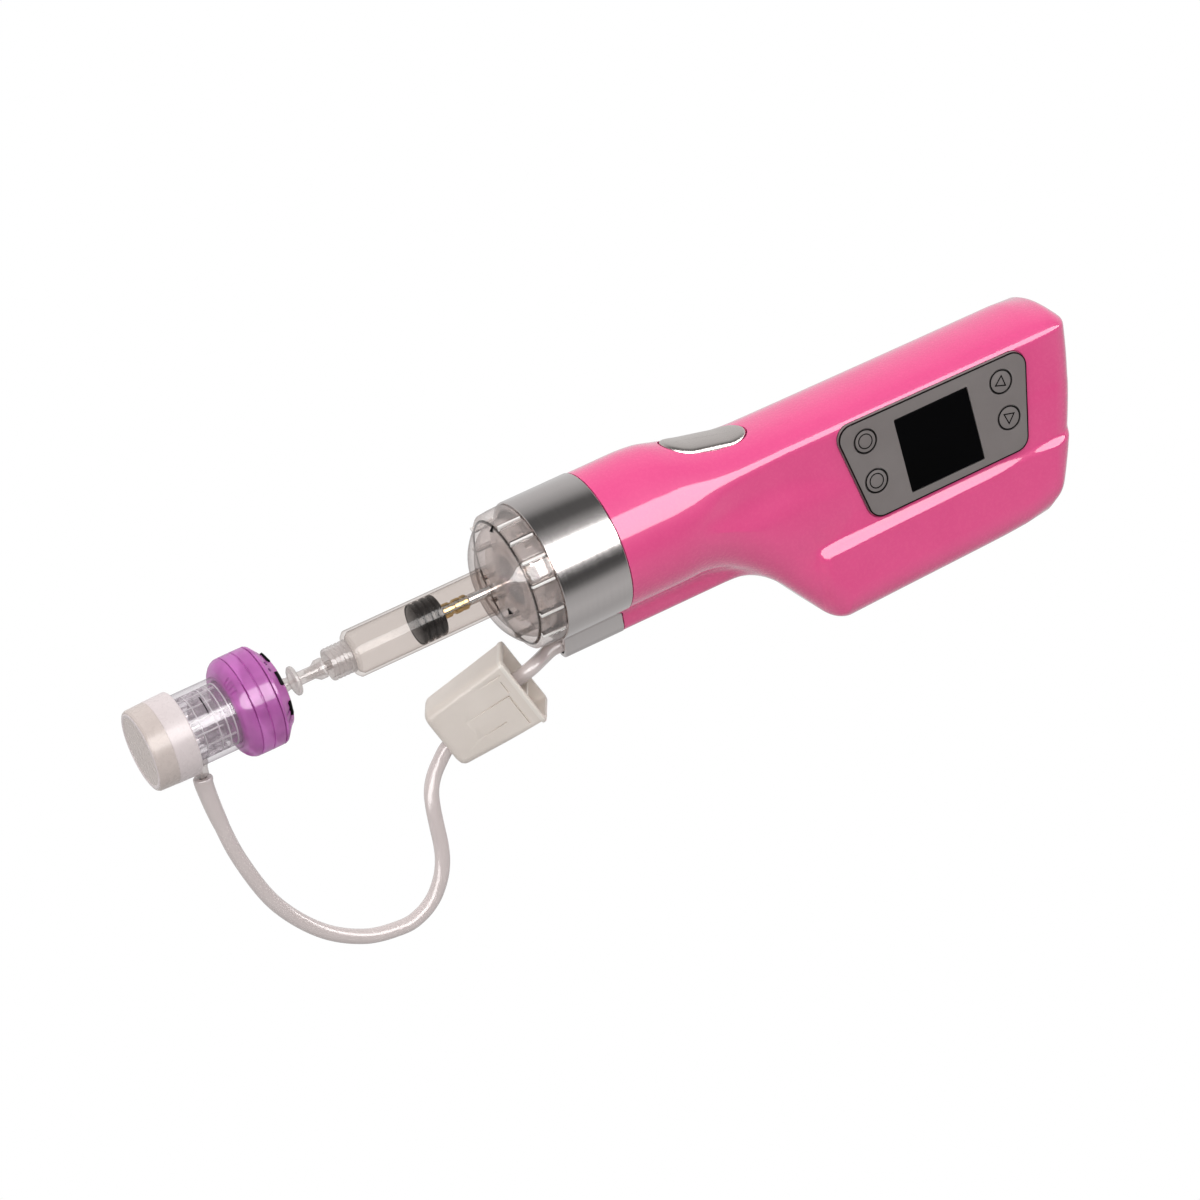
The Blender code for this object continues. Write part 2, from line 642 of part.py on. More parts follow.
def drive_bearings():
    rod("front_bushing", 23.2, 25.8, 3.5, "brass", (0, SCREW_Z), bore=1.8)
    rod("rear_bearing", 70.2, 72.8, 4.5, "zinc_steel", (0, SCREW_Z), 16, bore=2.1)
    rod("guide_rod", 23.2, 72.8, 1.2, "chrome", GUIDE, 8, edge=0.2)


def lead_screw():
    """Journal, helical ridge, journal, as one closed skin of rings."""
    start, end = 27.2, 68.6             # the threaded stretch
    front_tip, rear_tip = 23.4, 82.0
    core, crest, front_r, rear_r, step = 2.0, 2.6, 1.4, 1.8, 0.6
    sides, rings_per_turn = 8, 3

    def plain(x, radius):
        return x, [radius] * sides

    rings = [plain(front_tip, front_r), plain(start - step, front_r), plain(start - step, core)]
    count = int(round((end - start) / LEAD * rings_per_turn))
    for n in range(count + 1):
        x = start + (end - start) * n / count
        fade = min(1.0, n / 3, (count - n) / 3)     # the ridge runs out at both ends
        rise = [max(0.0, 1 - abs((x / LEAD - k / sides) % 1.0 - 0.5) * 3.2) for k in range(sides)]
        rings.append((x, [core + (crest - core) * share * fade for share in rise]))
    rings += [plain(end + step, core), plain(end + step, rear_r), plain(rear_tip, rear_r)]
    points = [[(x, r * math.sin(k * TAU / sides), r * math.cos(k * TAU / sides))
               for k, r in enumerate(radii)] for x, radii in rings]
    made = place("lead_screw", skin_rings("lead_screw", points), "zinc_steel")
    made.location = (0, 0, SCREW_Z * MM)


def gear(name, teeth, start, end, z, material, bore=0.0, turn=0.0):
    tip, root = MODULE * (teeth / 2 + 0.8), MODULE * (teeth / 2 - 1.15)
    ring = []
    for tooth in range(teeth):
        for share, radius in ((-0.3, root), (-0.12, tip), (0.12, tip), (0.3, root)):
            angle = (tooth + share) * TAU / teeth
            ring.append((radius * math.cos(angle), radius * math.sin(angle)))
    holes = [[(bore * math.cos(-k * TAU / 16), bore * math.sin(-k * TAU / 16))
              for k in range(16)]] if bore else []
    frame = (shift((start + end) / 2, 0, z) @ Matrix.Rotation(turn, 4, "X")
             @ Matrix.Rotation(math.pi / 2, 4, "Y"))
    return plate(name, ring, end - start, frame, material, holes)


def gears():
    gear("screw_gear", GEAR_TEETH, 76.0, 80.0, SCREW_Z, "white_nylon", bore=2.1)
    # the pinion is turned half a tooth, so a tooth faces a gap
    pinion = gear("motor_pinion", PINION_TEETH, 75.8, 80.4, MOTOR_Z, "brass",
                  turn=TAU / PINION_TEETH / 2)
    join(pinion, rod("pinion_shaft", 74.8, 93.0, 1.2, at=(0, MOTOR_Z), steps=8))


def drive_motor():
    lathe("drive_motor", [
        (86.8, 1.5), (86.8, 3.2), (88.0, 3.2), (88.0, 7.6), (88.8, 8.4), (115.0, 8.4),
        (115.8, 7.6), (117.0, 7.6), (117.0, 2.6), (119.6, 2.6), (119.6, 0), (94.5, 0),
        (94.5, 1.5)], 16, "zinc_steel", (0, MOTOR_Z))


def carriage():
    """The block that rides on the guide rod and carries the nut and the push rod."""
    made = box("carriage", (CARRIAGE_FRONT, -6, -17), (CARRIAGE_REAR, 6, 3.2),
               "black_plastic", bevel=1.2)
    join(made, box("carriage_arm", (CARRIAGE_FRONT + 0.5, 3, -8.5),
                   (CARRIAGE_REAR - 0.5, 9.8, -1.0)))
    cut(made, rod("carriage_rod_hole", 40, 60, ROD_R + FIT, steps=10),
        rod("carriage_nut_hole", 40, 60, 4.5, at=(0, SCREW_Z)),
        rod("carriage_guide_hole", 40, 60, GUIDE_HOLE_R, at=GUIDE, steps=8))
    rod("drive_nut", 46.2, 53.8, 4.2, "brass", (0, SCREW_Z), bore=2.95, edge=0.3)


def travel_sensor():
    box("travel_sensor", (61.5, -12.2, -6.5), (68.5, -9.6, -0.5), "black_plastic", bevel=0.4)


# ---- trigger -------------------------------------------------------------------------
def trigger_button():
    thick, proud = 4.6, 0.35
    button = plate("trigger_button", stadium(TRIGGER_LEN, TRIGGER_WIDE), thick,
                   TRIGGER_FRAME @ shift(0, 0, proud - thick / 2), "satin_steel")
    join(button, plate("trigger_flange", stadium(TRIGGER_LEN + 3.0, TRIGGER_WIDE + 2.0, 5), 1.2,
                       TRIGGER_FRAME @ shift(0, 0, -4.7)))
    bevel_edges(button, 0.5, segments=2).angle_limit = math.radians(50)


def trigger_spring():
    turns, per_turn = 4, 8
    count = turns * per_turn
    radius, bottom, height = 1.9, -9.2, 3.3
    coil = [(radius * math.cos(n * TAU / per_turn), radius * math.sin(n * TAU / per_turn),
             bottom + height * n / count) for n in range(count + 1)]
    spring = wire("trigger_spring", coil, 0.25, "zinc_steel", resolution=0)
    spring.matrix_world = TRIGGER_FRAME @ shift(6.5, 0, 0)


def trigger_switch():
    box("trigger_switch", (-5, -3.2, -10.6), (3.2, 3.2, -7.2), "black_plastic", bevel=0.3,
        frame=TRIGGER_FRAME)


# ---- control panel -------------------------------------------------------------------
SCREEN_X0, SCREEN_X1, SCREEN_Z0, SCREEN_Z1 = 112.8, 137.3, -20.2, 3.0
KEYS = {"key_power": (102.5, 0.9), "key_mode": (102.8, -12.0),
        "key_up": (148.2, 0.0), "key_down": (148.0, -11.6)}     # x, z
KEY_R = 3.65


def control_panel():
    thick = 2.0
    panel = plate("control_panel", rounded(PANEL_CORNERS, 4.6), thick,
                  facing_side(PANEL_Y + thick / 2), "panel_grey")
    cut(panel, box("screen_hole", (SCREEN_X0 - FIT, -18, SCREEN_Z0 - FIT),
                   (SCREEN_X1 + FIT, -13, SCREEN_Z1 + FIT)))
    for name, (x, z) in KEYS.items():
        cut(panel, drum(name + "_hole", (x, -15, z), KEY_R + FIT, 8, Y_AXIS, sides=20))
        drum(name, (x, -15.75, z), KEY_R, 1.3, Y_AXIS, "panel_grey", sides=20, bevel=0.15)


def display():
    box("display_window", (SCREEN_X0, PANEL_Y, SCREEN_Z0), (SCREEN_X1, PANEL_Y + 1.0, SCREEN_Z1),
        "screen_black", bevel=0.15)
    box("display_module", (111.5, -14.0, -21.4), (138.6, -12.0, 4.2), "board_green", bevel=0.3)


def main_board():
    half = 1.8      # half side of a key switch
    board = box("main_pcb", (93.5, -11.6, -27.5), (155.0, -10.4, 4.5), "board_green")
    for name, (x, z) in KEYS.items():
        join(board, box(name + "_switch", (x - half, -14.2, z - half),
                        (x + half, -11.4, z + half)))


# ---- power and vacuum inside the grip ------------------------------------------------
def battery():
    lathe("battery_cell", [
        (97, 0), (97, 6.7), (97.5, 7.0), (145.5, 7.0), (146, 6.7), (146, 2.6), (147.3, 2.6),
        (147.3, 0)], 16, "battery_wrap", (0, BATTERY_Z))


def pump():
    lathe("pump_motor", [
        (126, 0), (126, 6.2), (126.8, 6.8), (144, 6.8), (144.8, 6.2), (144.8, 1.3), (139, 1.3),
        (139, 0)], 13, "zinc_steel", (0, PUMP_Z))
    head = box("pump_head", (145.2, -7.5, PUMP_Z - 8), (158.0, 7.5, PUMP_Z + 8),
               "black_plastic", bevel=0.8)
    cut(head, rod("pump_bore", 144, 154, 5.6, at=(0, PUMP_Z)))
    rotor = rod("pump_eccentric", 147.0, 152.0, 3.9, "brass", (0, PUMP_Z + 0.9), 10)
    join(rotor, rod("pump_shaft", 140.5, 149.0, 1.0, at=(0, PUMP_Z), steps=8))


def charge_socket():
    socket = box("charge_socket", (SOCKET_X - 9.5, -4.5, SOCKET_Z - 1.9),
                 (SOCKET_X - 0.6, 4.5, SOCKET_Z + 1.9), "zinc_steel", bevel=0.5)
    cut(socket, box("socket_mouth", (SOCKET_X - 6, -3.7, SOCKET_Z - 1.2),
                    (SOCKET_X + 3, 3.7, SOCKET_Z + 1.2)))


def inner_hose():
    hose("inner_hose", HOSE, 2, radius=1.75, bore=1.25)


# ---- needle head ---------------------------------------------------------------------
def luer_inlet():
    lathe("luer_inlet", [
        (-95.0, 0.5), (-95.0, 1.6), (-82.5, 1.6), (-82.5, 1.9), (-76.4, 1.9), (-76.3, 4.4),
        (-75.1, 4.4), (-75.0, 1.9), (-69.5, 1.9), (-69.0, 2.3), (-68.2, 3.0), (-66.3, 3.0),
        (-66.3, 2.1), (-72.0, 1.4), (-72.0, 0.5)], 13, "clear_plastic")


def hub():
    """Two purple shells with the depth ring between them."""
    lathe("hub_front", [
        (-97.0, 11.1), (-96.7, 12.9), (-95.2, 14.2), (-93.4, HUB_R), (-93.4, 3.6),
        (-94.6, 3.6), (-94.6, 11.1)], 24, "purple_clear")
    rod("depth_ring", -93.1, -86.1, HUB_R, "purple_clear", steps=24, bore=5.2)
    lathe("hub_rear", [
        (-85.8, 2.0), (-85.8, HUB_R), (-84.9, 14.4), (-82.5, 11.4), (-81.6, 10.9),
        (-81.6, 6.0), (-82.8, 5.0), (-82.8, 2.0)], 24, "purple_clear")


def needles():
    """Five needles in their carrier: one on the axis and four round it."""
    carrier = lathe("needle_carrier", [
        (-106.5, 0), (-106.5, 6.0), (-103.4, 6.0), (-103.4, 3.2), (-91.9, 3.2), (-91.9, 4.6),
        (-91.3, 4.6), (-91.3, 2.1), (-97.0, 2.1), (-97.0, 0)], 13, "clear_plastic")
    circle_r, first_angle = 3.6, 0.4
    angles = [k * TAU / 4 + first_angle for k in range(4)]
    spots = [(0, 0)] + [(circle_r * math.sin(a), circle_r * math.cos(a)) for a in angles]
    for n, spot in enumerate(spots):
        rod(f"needle_{n + 1}", -111.0, -105.0, 0.18, "chrome", spot, 8)
        cut(carrier, drum(f"needle_seat_{n}", (-106.5, *spot), 0.5, 3.6, X_AXIS, sides=6))


def needle_cup():
    cup = lathe("needle_cup", [
        (-113.6, 8.6), (-113.6, 9.6), (-112.8, CUP_R), (-95.0, CUP_R), (-95.0, 9.3),
        (-112.4, 9.3), (-112.4, 8.6)], 27, "clear_plastic")
    join(cup, drum("cup_nipple", (NIPPLE_X, 0, -13.7), 0.95, 8.4, Z_AXIS, sides=10))
    cut(cup, drum("cup_nipple_bore", (NIPPLE_X, 0, -14.5), 0.5, 14, Z_AXIS, sides=8))


def tip_cap():
    lathe("tip_cap", [
        (-123.8, 0), (-123.8, 11.5), (-123.2, 12.1), (-111.0, 12.45), (-111.0, 11.05),
        (-114.2, 11.05), (-114.2, 10.2), (-122.4, 10.2), (-122.4, 0)], 27, "cap_plastic")


# ---- vacuum tubes and filter ---------------------------------------------------------
# The filter hangs on its tubes, so its long axis, width and thickness (a, b, c) are skewed.
FILTER_MID = Vector((-24.9, 0.4, -32.6))
FILTER_A = Vector((0.840, -0.408, 0.358)).normalized()
FILTER_C = FILTER_A.cross(Vector((0.308, -0.185, -0.933)).normalized()).normalized()
FILTER_B = FILTER_C.cross(FILTER_A)
FILTER_FRAME = shift(*FILTER_MID) @ Matrix((FILTER_A, FILTER_B, FILTER_C)).transposed().to_4x4()
FILTER_LEN, FILTER_WIDE, FILTER_THICK = 28.6, 22.6, 15.8
FILTER_TAPER = 0.86         # size of the -a end against the +a end
FILTER_END = FILTER_LEN / 2
PORT_IN_B, PORT_IN_C, PORT_OUT_B = 3.0, -3.0, -1.5


def filter_point(a, b, c=0.0):
    return tuple(FILTER_MID + FILTER_A * a + FILTER_B * b + FILTER_C * c)


def wedge(name, start, end, inset, material=None):
    """A box along the filter's axis that follows the taper of the case."""
    cage = bmesh.new()
    bmesh.ops.create_cube(cage, size=2)
    for vert in cage.verts:
        a = end if vert.co.x > 0 else start
        scale = FILTER_TAPER + (1 - FILTER_TAPER) * (a + FILTER_END) / FILTER_LEN
        b = FILTER_WIDE / 2 * scale - inset
        c = FILTER_THICK / 2 * scale - inset
        vert.co = Vector((a, math.copysign(b, vert.co.y), math.copysign(c, vert.co.z))) * MM
    made = place(name, mesh_from(name, cage), material)
    made.matrix_world = FILTER_FRAME
    return made


def filter_bore(name, start, end, radius, b, c=0.0):
    return drum(name, ((start + end) / 2, b, c), radius, end - start, X_AXIS, frame=FILTER_FRAME)


def vacuum_filter():
    """An open-ended case round a core that takes both tubes."""
    case = wedge("filter_case", -FILTER_END, FILTER_END, 0.0, "beige_plastic")
    bevel_edges(case, 1.6, segments=2)
    wall = 1.4
    cut(case, wedge("case_cavity", -FILTER_END + wall, FILTER_END + 3, wall),
        filter_bore("case_port", -FILTER_END - 3, 0, TUBE_R + FIT + 0.15, PORT_IN_B, PORT_IN_C))
    core = wedge("filter_core", -FILTER_END + 5.0, FILTER_END - 4.5, 1.8, "beige_plastic")
    cut(core, filter_bore("core_in", -FILTER_END, -FILTER_END + 8.0, TUBE_R + FIT,
                          PORT_IN_B, PORT_IN_C),
        filter_bore("core_out", FILTER_END - 7.5, FILTER_END, TUBE_R + FIT, PORT_OUT_B))


def vacuum_tubes():
    """The lower tube loops from the cup to the filter, the upper one goes on to the collar."""
    hose("vacuum_tube_lower", [
        (NIPPLE_X, 0, -15.2), (NIPPLE_X - 0.2, 0, -18.5), (-108.8, 0, -29), (-106.6, 0, -43.3),
        (-100.9, 0, -60.4), (-90.8, 0, -74.3), (-78.9, 0, -82.4), (-66.5, 0, -84.7),
        (-54.9, 0, -78.9), (-48.9, 0, -68.4), (-47.4, 0, -57.5), (-46.0, 1.4, -51.2),
        filter_point(-FILTER_END - 4.0, PORT_IN_B + 2.4, PORT_IN_C),
        filter_point(-FILTER_END - 0.6, PORT_IN_B, PORT_IN_C),
        filter_point(-FILTER_END + 3.5, PORT_IN_B, PORT_IN_C)], 2)
    hose("vacuum_tube_upper", [
        filter_point(FILTER_END - 7.0, PORT_OUT_B), filter_point(FILTER_END - 2.0, PORT_OUT_B),
        filter_point(FILTER_END + 3.5, PORT_OUT_B - 0.4), (-4.6, -1.6, -25.9),
        (-1.0, -0.15, CHANNEL_Z - 0.1), (1.5, 0, CHANNEL_Z), (6.5, 0, CHANNEL_Z)], 3)


# ---- build ---------------------------------------------------------------------------
def hang_on_base():
    """Parent everything to the empty that moves the underside's middle to the origin."""
    base_x = 125.0
    base_z = FLOOR_Z + FLOOR_SLOPE * (base_x - FLOOR_X)
    pieces = [*PARTS.objects, *CUTTERS.objects]
    base = empty("grip_base", shift(-base_x, 0, -base_z))
    for piece in pieces:
        piece.parent = base


empty("trigger_axis", TRIGGER_FRAME)
empty("filter_axis", FILTER_FRAME)
for build in (
        body_shell_left, body_shell_right, case_screws, collar, vacuum_port,
        nose_cap, syringe_barrel, plunger_stopper, push_rod, syringe_seat,
        drive_frame, drive_bearings, lead_screw, gears, drive_motor, carriage, travel_sensor,
        trigger_button, trigger_spring, trigger_switch, control_panel, display, main_board,
        battery, pump, charge_socket, inner_hose,
        luer_inlet, hub, needles, needle_cup, tip_cap, vacuum_filter, vacuum_tubes):
    build()
hang_on_base()
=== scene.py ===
"""Looks for the handheld syringe injector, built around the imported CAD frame.
Shapes are laid out in millimetres from the syringe axis at the collar's front face."""

import math
import random

import bmesh
import bpy
import numpy as np
from mathutils import Matrix, Vector


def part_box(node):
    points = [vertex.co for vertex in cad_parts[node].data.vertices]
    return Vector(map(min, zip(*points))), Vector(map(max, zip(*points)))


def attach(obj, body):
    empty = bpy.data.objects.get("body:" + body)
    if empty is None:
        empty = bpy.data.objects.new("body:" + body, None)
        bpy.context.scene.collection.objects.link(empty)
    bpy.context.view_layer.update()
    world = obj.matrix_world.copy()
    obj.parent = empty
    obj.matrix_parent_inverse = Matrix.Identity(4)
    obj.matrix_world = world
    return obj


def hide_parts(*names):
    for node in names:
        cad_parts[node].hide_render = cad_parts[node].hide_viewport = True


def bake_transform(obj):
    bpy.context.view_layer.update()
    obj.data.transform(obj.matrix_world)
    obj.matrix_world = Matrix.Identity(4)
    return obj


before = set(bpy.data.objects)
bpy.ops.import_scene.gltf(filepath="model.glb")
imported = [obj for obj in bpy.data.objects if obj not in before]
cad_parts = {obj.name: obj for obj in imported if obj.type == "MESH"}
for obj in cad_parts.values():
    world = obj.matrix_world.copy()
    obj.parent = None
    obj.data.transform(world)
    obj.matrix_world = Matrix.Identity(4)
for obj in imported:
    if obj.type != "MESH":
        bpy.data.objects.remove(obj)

random.seed(7)
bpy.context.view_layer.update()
MM = 0.001
TAU = 2 * math.pi

# where the syringe axis and the collar's front face are in the row frame
_lo, _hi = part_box("collar_ring")
_slo, _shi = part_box("syringe_barrel")
ORIGIN = Vector((_lo.x, (_slo.y + _shi.y) / 2, (_slo.z + _shi.z) / 2))


def P(x, y, z):
    return ORIGIN + Vector((x, y, z)) * MM


# ------------------------------------------------------------------ materials
class Nodes:
    """A small builder for node materials."""

    def __init__(self, name):
        self.mat = bpy.data.materials.new(name)
        self.mat.use_nodes = True
        self.tree = self.mat.node_tree
        self.shader = self.tree.nodes["Principled BSDF"]
        self.out = self.tree.nodes["Material Output"]

    def add(self, kind, **values):
        node = self.tree.nodes.new(kind)
        for key, value in values.items():
            if hasattr(node, key):
                setattr(node, key, value)
            else:
                node.inputs[key.replace("_", " ")].default_value = value
        return node

    def link(self, a, b):
        self.tree.links.new(a, b)

    def set(self, **values):
        for key, value in values.items():
            self.shader.inputs[key.replace("_", " ")].default_value = value
        return self

    def coords(self, scale=(1, 1, 1)):
        place = self.add("ShaderNodeTexCoord")
        mapping = self.add("ShaderNodeMapping")
        mapping.inputs["Scale"].default_value = scale
        self.link(place.outputs["Object"], mapping.inputs["Vector"])
        return mapping.outputs["Vector"]

    def noise(self, scale, detail=3.0, rough=0.5, stretch=(1, 1, 1)):
        made = self.add("ShaderNodeTexNoise")
        made.inputs["Scale"].default_value = scale
        made.inputs["Detail"].default_value = detail
        made.inputs["Roughness"].default_value = rough
        self.link(self.coords(stretch), made.inputs["Vector"])
        return made.outputs["Fac"]

    def ramp(self, source, low, high, a=0.3, b=0.7):
        made = self.add("ShaderNodeMapRange")
        made.inputs["From Min"].default_value = a
        made.inputs["From Max"].default_value = b
        made.inputs["To Min"].default_value = low
        made.inputs["To Max"].default_value = high
        self.link(source, made.inputs["Value"])
        return made.outputs["Result"]

    def mix_colour(self, source, c1, c2):
        made = self.add("ShaderNodeMix")
        made.data_type = "RGBA"
        made.inputs["A"].default_value = (*c1, 1)
        made.inputs["B"].default_value = (*c2, 1)
        for sock in made.inputs:
            pass
        self.link(source, made.inputs[0])
        made.inputs[6].default_value = (*c1, 1)
        made.inputs[7].default_value = (*c2, 1)
        return made.outputs[2]

    def bump(self, source, distance, strength=0.5, base=None):
        made = self.add("ShaderNodeBump")
        made.inputs["Strength"].default_value = strength
        made.inputs["Distance"].default_value = distance
        self.link(source, made.inputs["Height"])
        if base is not None:
            self.link(base, made.inputs["Normal"])
        return made.outputs["Normal"]


def gloss_plastic(name, c1, c2, rough=0.12, coat=1.0, orange=0.00002):
    n = Nodes(name)
    cloud = n.noise(60, 2)
    n.link(n.mix_colour(n.ramp(cloud, 0, 1), c1, c2), n.shader.inputs["Base Color"])
    n.link(n.ramp(n.noise(900, 3), rough * 0.8, rough * 1.3), n.shader.inputs["Roughness"])
    n.set(Coat_Weight=coat, Coat_Roughness=0.015, Specular_IOR_Level=0.12)
    n.link(n.bump(n.noise(220, 2), orange, 0.03), n.shader.inputs["Normal"])
    n.link(n.bump(n.noise(160, 2), orange, 0.01), n.shader.inputs["Coat Normal"])
    return n.mat


def matte_plastic(name, c1, c2, rough=0.5, grain=1800, depth=0.00003, spec=0.5):
    n = Nodes(name)
    n.set(Specular_IOR_Level=spec)
    n.link(n.mix_colour(n.ramp(n.noise(90, 3), 0, 1), c1, c2), n.shader.inputs["Base Color"])
    n.link(n.ramp(n.noise(grain, 3), rough * 0.85, rough * 1.15), n.shader.inputs["Roughness"])
    n.link(n.bump(n.noise(grain, 4, 0.6), depth, 0.35), n.shader.inputs["Normal"])
    return n.mat


def metal(name, c1, c2, rough=0.3, stretch=(1, 1, 1), scale=400, depth=0.00001, aniso=0.0):
    n = Nodes(name)
    n.set(Metallic=1.0, Anisotropic=aniso)
    streak = n.noise(scale, 4, 0.6, stretch)
    n.link(n.mix_colour(n.ramp(streak, 0, 1), c1, c2), n.shader.inputs["Base Color"])
    n.link(n.ramp(streak, rough * 0.8, rough * 1.25), n.shader.inputs["Roughness"])
    n.link(n.bump(streak, depth, 0.25), n.shader.inputs["Normal"])
    return n.mat


def clear_plastic(name, tint, edge_tint, gloss=0.06, body=0.08, body_colour=(0.8, 0.78, 0.76), mirror=1.0):
    """Thin-walled clear plastic: tinted see-through face-on, darker and shinier at grazing angles, with a little body colour."""
    n = Nodes(name)
    n.tree.nodes.remove(n.shader)
    facing = n.add("ShaderNodeLayerWeight")
    facing.inputs["Blend"].default_value = 0.5
    steep = n.add("ShaderNodeMath")
    steep.operation = "POWER"
    steep.inputs[1].default_value = 5.0
    n.link(facing.outputs["Facing"], steep.inputs[0])
    through = n.add("ShaderNodeBsdfTransparent")
    mixed = n.add("ShaderNodeMix")
    mixed.data_type = "RGBA"
    n.link(steep.outputs[0], mixed.inputs[0])
    mixed.inputs[6].default_value = (*tint, 1)
    mixed.inputs[7].default_value = (*edge_tint, 1)
    n.link(mixed.outputs[2], through.inputs["Color"])
    solid = n.add("ShaderNodeBsdfPrincipled")
    solid.inputs["Base Color"].default_value = (*body_colour, 1)
    solid.inputs["Roughness"].default_value = 0.35
    cloud = n.ramp(n.noise(120, 2), body * 0.8, body * 1.2)
    first = n.add("ShaderNodeMixShader")
    n.link(cloud, first.inputs[0])
    n.link(through.outputs[0], first.inputs[1])
    n.link(solid.outputs[0], first.inputs[2])
    shine = n.add("ShaderNodeBsdfGlossy")
    shine.inputs["Roughness"].default_value = gloss
    normal = n.bump(n.noise(300, 2), 0.00002, 0.08)
    n.link(normal, shine.inputs["Normal"])
    fresnel = n.add("ShaderNodeMath")
    fresnel.operation = "MULTIPLY_ADD"
    fresnel.inputs[1].default_value = 0.45 * mirror
    fresnel.inputs[2].default_value = 0.045 * mirror
    n.link(steep.outputs[0], fresnel.inputs[0])
    last = n.add("ShaderNodeMixShader")
    n.link(fresnel.outputs[0], last.inputs[0])
    n.link(first.outputs[0], last.inputs[1])
    n.link(shine.outputs[0], last.inputs[2])
    n.link(last.outputs[0], n.out.inputs["Surface"])
    return n.mat


MAT = {
    "pink": gloss_plastic("pink_gloss", (0.85, 0.092, 0.285), (0.88, 0.102, 0.30), 0.25, 1.0),
    "collar": metal("collar_satin", (0.60, 0.565, 0.555), (0.63, 0.595, 0.585), 0.17, (60, 1, 1), 60, 0.0000004, 0.0),
    "trigger": metal("trigger_satin", (0.66, 0.61, 0.585), (0.69, 0.64, 0.615), 0.30, (1, 30, 1), 120, 0.0000006, 0.0),
    "chrome": metal("chrome_bright", (0.74, 0.72, 0.71), (0.82, 0.80, 0.79), 0.07, (20, 1, 1), 200, 0.000002),
    "seat": metal("seat_polished", (0.74, 0.69, 0.67), (0.84, 0.79, 0.77), 0.10, (10, 1, 1), 150, 0.000001),
    "steel": metal("zinc_steel", (0.42, 0.43, 0.45), (0.55, 0.56, 0.58), 0.32, (1, 1, 1), 500, 0.00001),
    "brass": metal("brass_turned", (0.62, 0.42, 0.16), (0.75, 0.54, 0.24), 0.16, (40, 1, 1), 120, 0.000004),
    "dome": clear_plastic("smoky_clear", (0.94, 0.915, 0.905), (0.42, 0.38, 0.37), 0.05, 0.22, (0.74, 0.66, 0.635)),
    "barrel": clear_plastic("syringe_clear", (0.905, 0.88, 0.865), (0.42, 0.38, 0.36), 0.04, 0.02, (0.60, 0.53, 0.50), 0.35),
    "clear": clear_plastic("needle_head_clear", (0.96, 0.945, 0.955), (0.45, 0.40, 0.44), 0.05, 0.11, (0.72, 0.66, 0.70)),
    "luer": clear_plastic("luer_milky", (0.92, 0.895, 0.885), (0.45, 0.41, 0.40), 0.10, 0.35, (0.70, 0.65, 0.63)),
    "rubber": matte_plastic("black_rubber", (0.006, 0.006, 0.006), (0.010, 0.010, 0.010), 0.16, 700, 0.000004, 0.5),
    "panel": matte_plastic("keypad_grey", (0.205, 0.182, 0.177), (0.225, 0.202, 0.197), 0.42, 2600, 0.000006, 0.25),
    "ink": matte_plastic("ink_black", (0.001, 0.001, 0.001), (0.002, 0.002, 0.002), 0.5, 1800, 0.00001, 0.06),
    "gap": matte_plastic("shadow_gap", (0.02, 0.012, 0.015), (0.03, 0.018, 0.02), 0.8),
    "beige": matte_plastic("filter_beige", (0.74, 0.67, 0.61), (0.78, 0.71, 0.65), 0.34, 500, 0.000006, 0.4),
    # dark brown used only as painted shade inside the filter's end slot
    "slit": matte_plastic("filter_slot_shade", (0.16, 0.135, 0.11), (0.20, 0.17, 0.14), 0.7),
    "cap": matte_plastic("tip_cap_milky", (0.60, 0.515, 0.48), (0.64, 0.555, 0.52), 0.28, 600, 0.000006, 0.5),
    "band": matte_plastic("cap_band", (0.72, 0.635, 0.635), (0.75, 0.665, 0.665), 0.28, 600, 0.000006, 0.5),
    "black": matte_plastic("black_plastic", (0.010, 0.010, 0.011), (0.018, 0.018, 0.02), 0.5),
    "nylon": matte_plastic("white_nylon", (0.72, 0.71, 0.67), (0.77, 0.76, 0.72), 0.45),
    "board": matte_plastic("circuit_board", (0.015, 0.14, 0.05), (0.03, 0.19, 0.08), 0.45, 900),
    "wrap": gloss_plastic("battery_wrap", (0.04, 0.10, 0.36), (0.06, 0.13, 0.42), 0.3, 0.3),
}

# translucent purple, silicone tube and display glass have their own recipes
MAT["purple"] = clear_plastic("purple_translucent", (0.88, 0.52, 0.86), (0.40, 0.10, 0.40), 0.05, 0.58, (0.72, 0.20, 0.63))

n = Nodes("silicone_tube")
n.link(n.mix_colour(n.ramp(n.noise(80, 2), 0, 1), (0.66, 0.58, 0.565), (0.69, 0.61, 0.595)), n.shader.inputs["Base Color"])
n.set(Roughness=0.24, Coat_Weight=0.5, Coat_Roughness=0.08)
n.link(n.ramp(n.noise(90, 2), 0.22, 0.27), n.shader.inputs["Roughness"])
MAT["tube"] = n.mat

n = Nodes("purple_shadow")
n.link(n.mix_colour(n.noise(200, 2), (0.12, 0.01, 0.12), (0.16, 0.02, 0.16)), n.shader.inputs["Base Color"])
n.set(Roughness=0.5)
MAT["purple_dark"] = n.mat

MAT["barwhite"] = gloss_plastic("rib_bright", (0.80, 0.77, 0.75), (0.86, 0.83, 0.81), 0.12, 0.6)
# dark metal that paints shade: the lines along the dome's ribs and the crease of the dome's step
MAT["painted_shade_dark"] = metal("rib_painted_shade", (0.10, 0.085, 0.08), (0.16, 0.14, 0.13), 0.25)
MAT["beige_light"] = matte_plastic("filter_beige_light", (0.79, 0.735, 0.675), (0.83, 0.775, 0.715), 0.32, 500, 0.000006, 0.4)
MAT["ribclear"] = clear_plastic("rib_clear", (0.96, 0.945, 0.955), (0.86, 0.82, 0.85), 0.06, 0.55, (0.95, 0.92, 0.94))
MAT["holder"] = clear_plastic("holder_clear", (0.94, 0.915, 0.93), (0.50, 0.45, 0.49), 0.08, 0.22, (0.66, 0.60, 0.645))

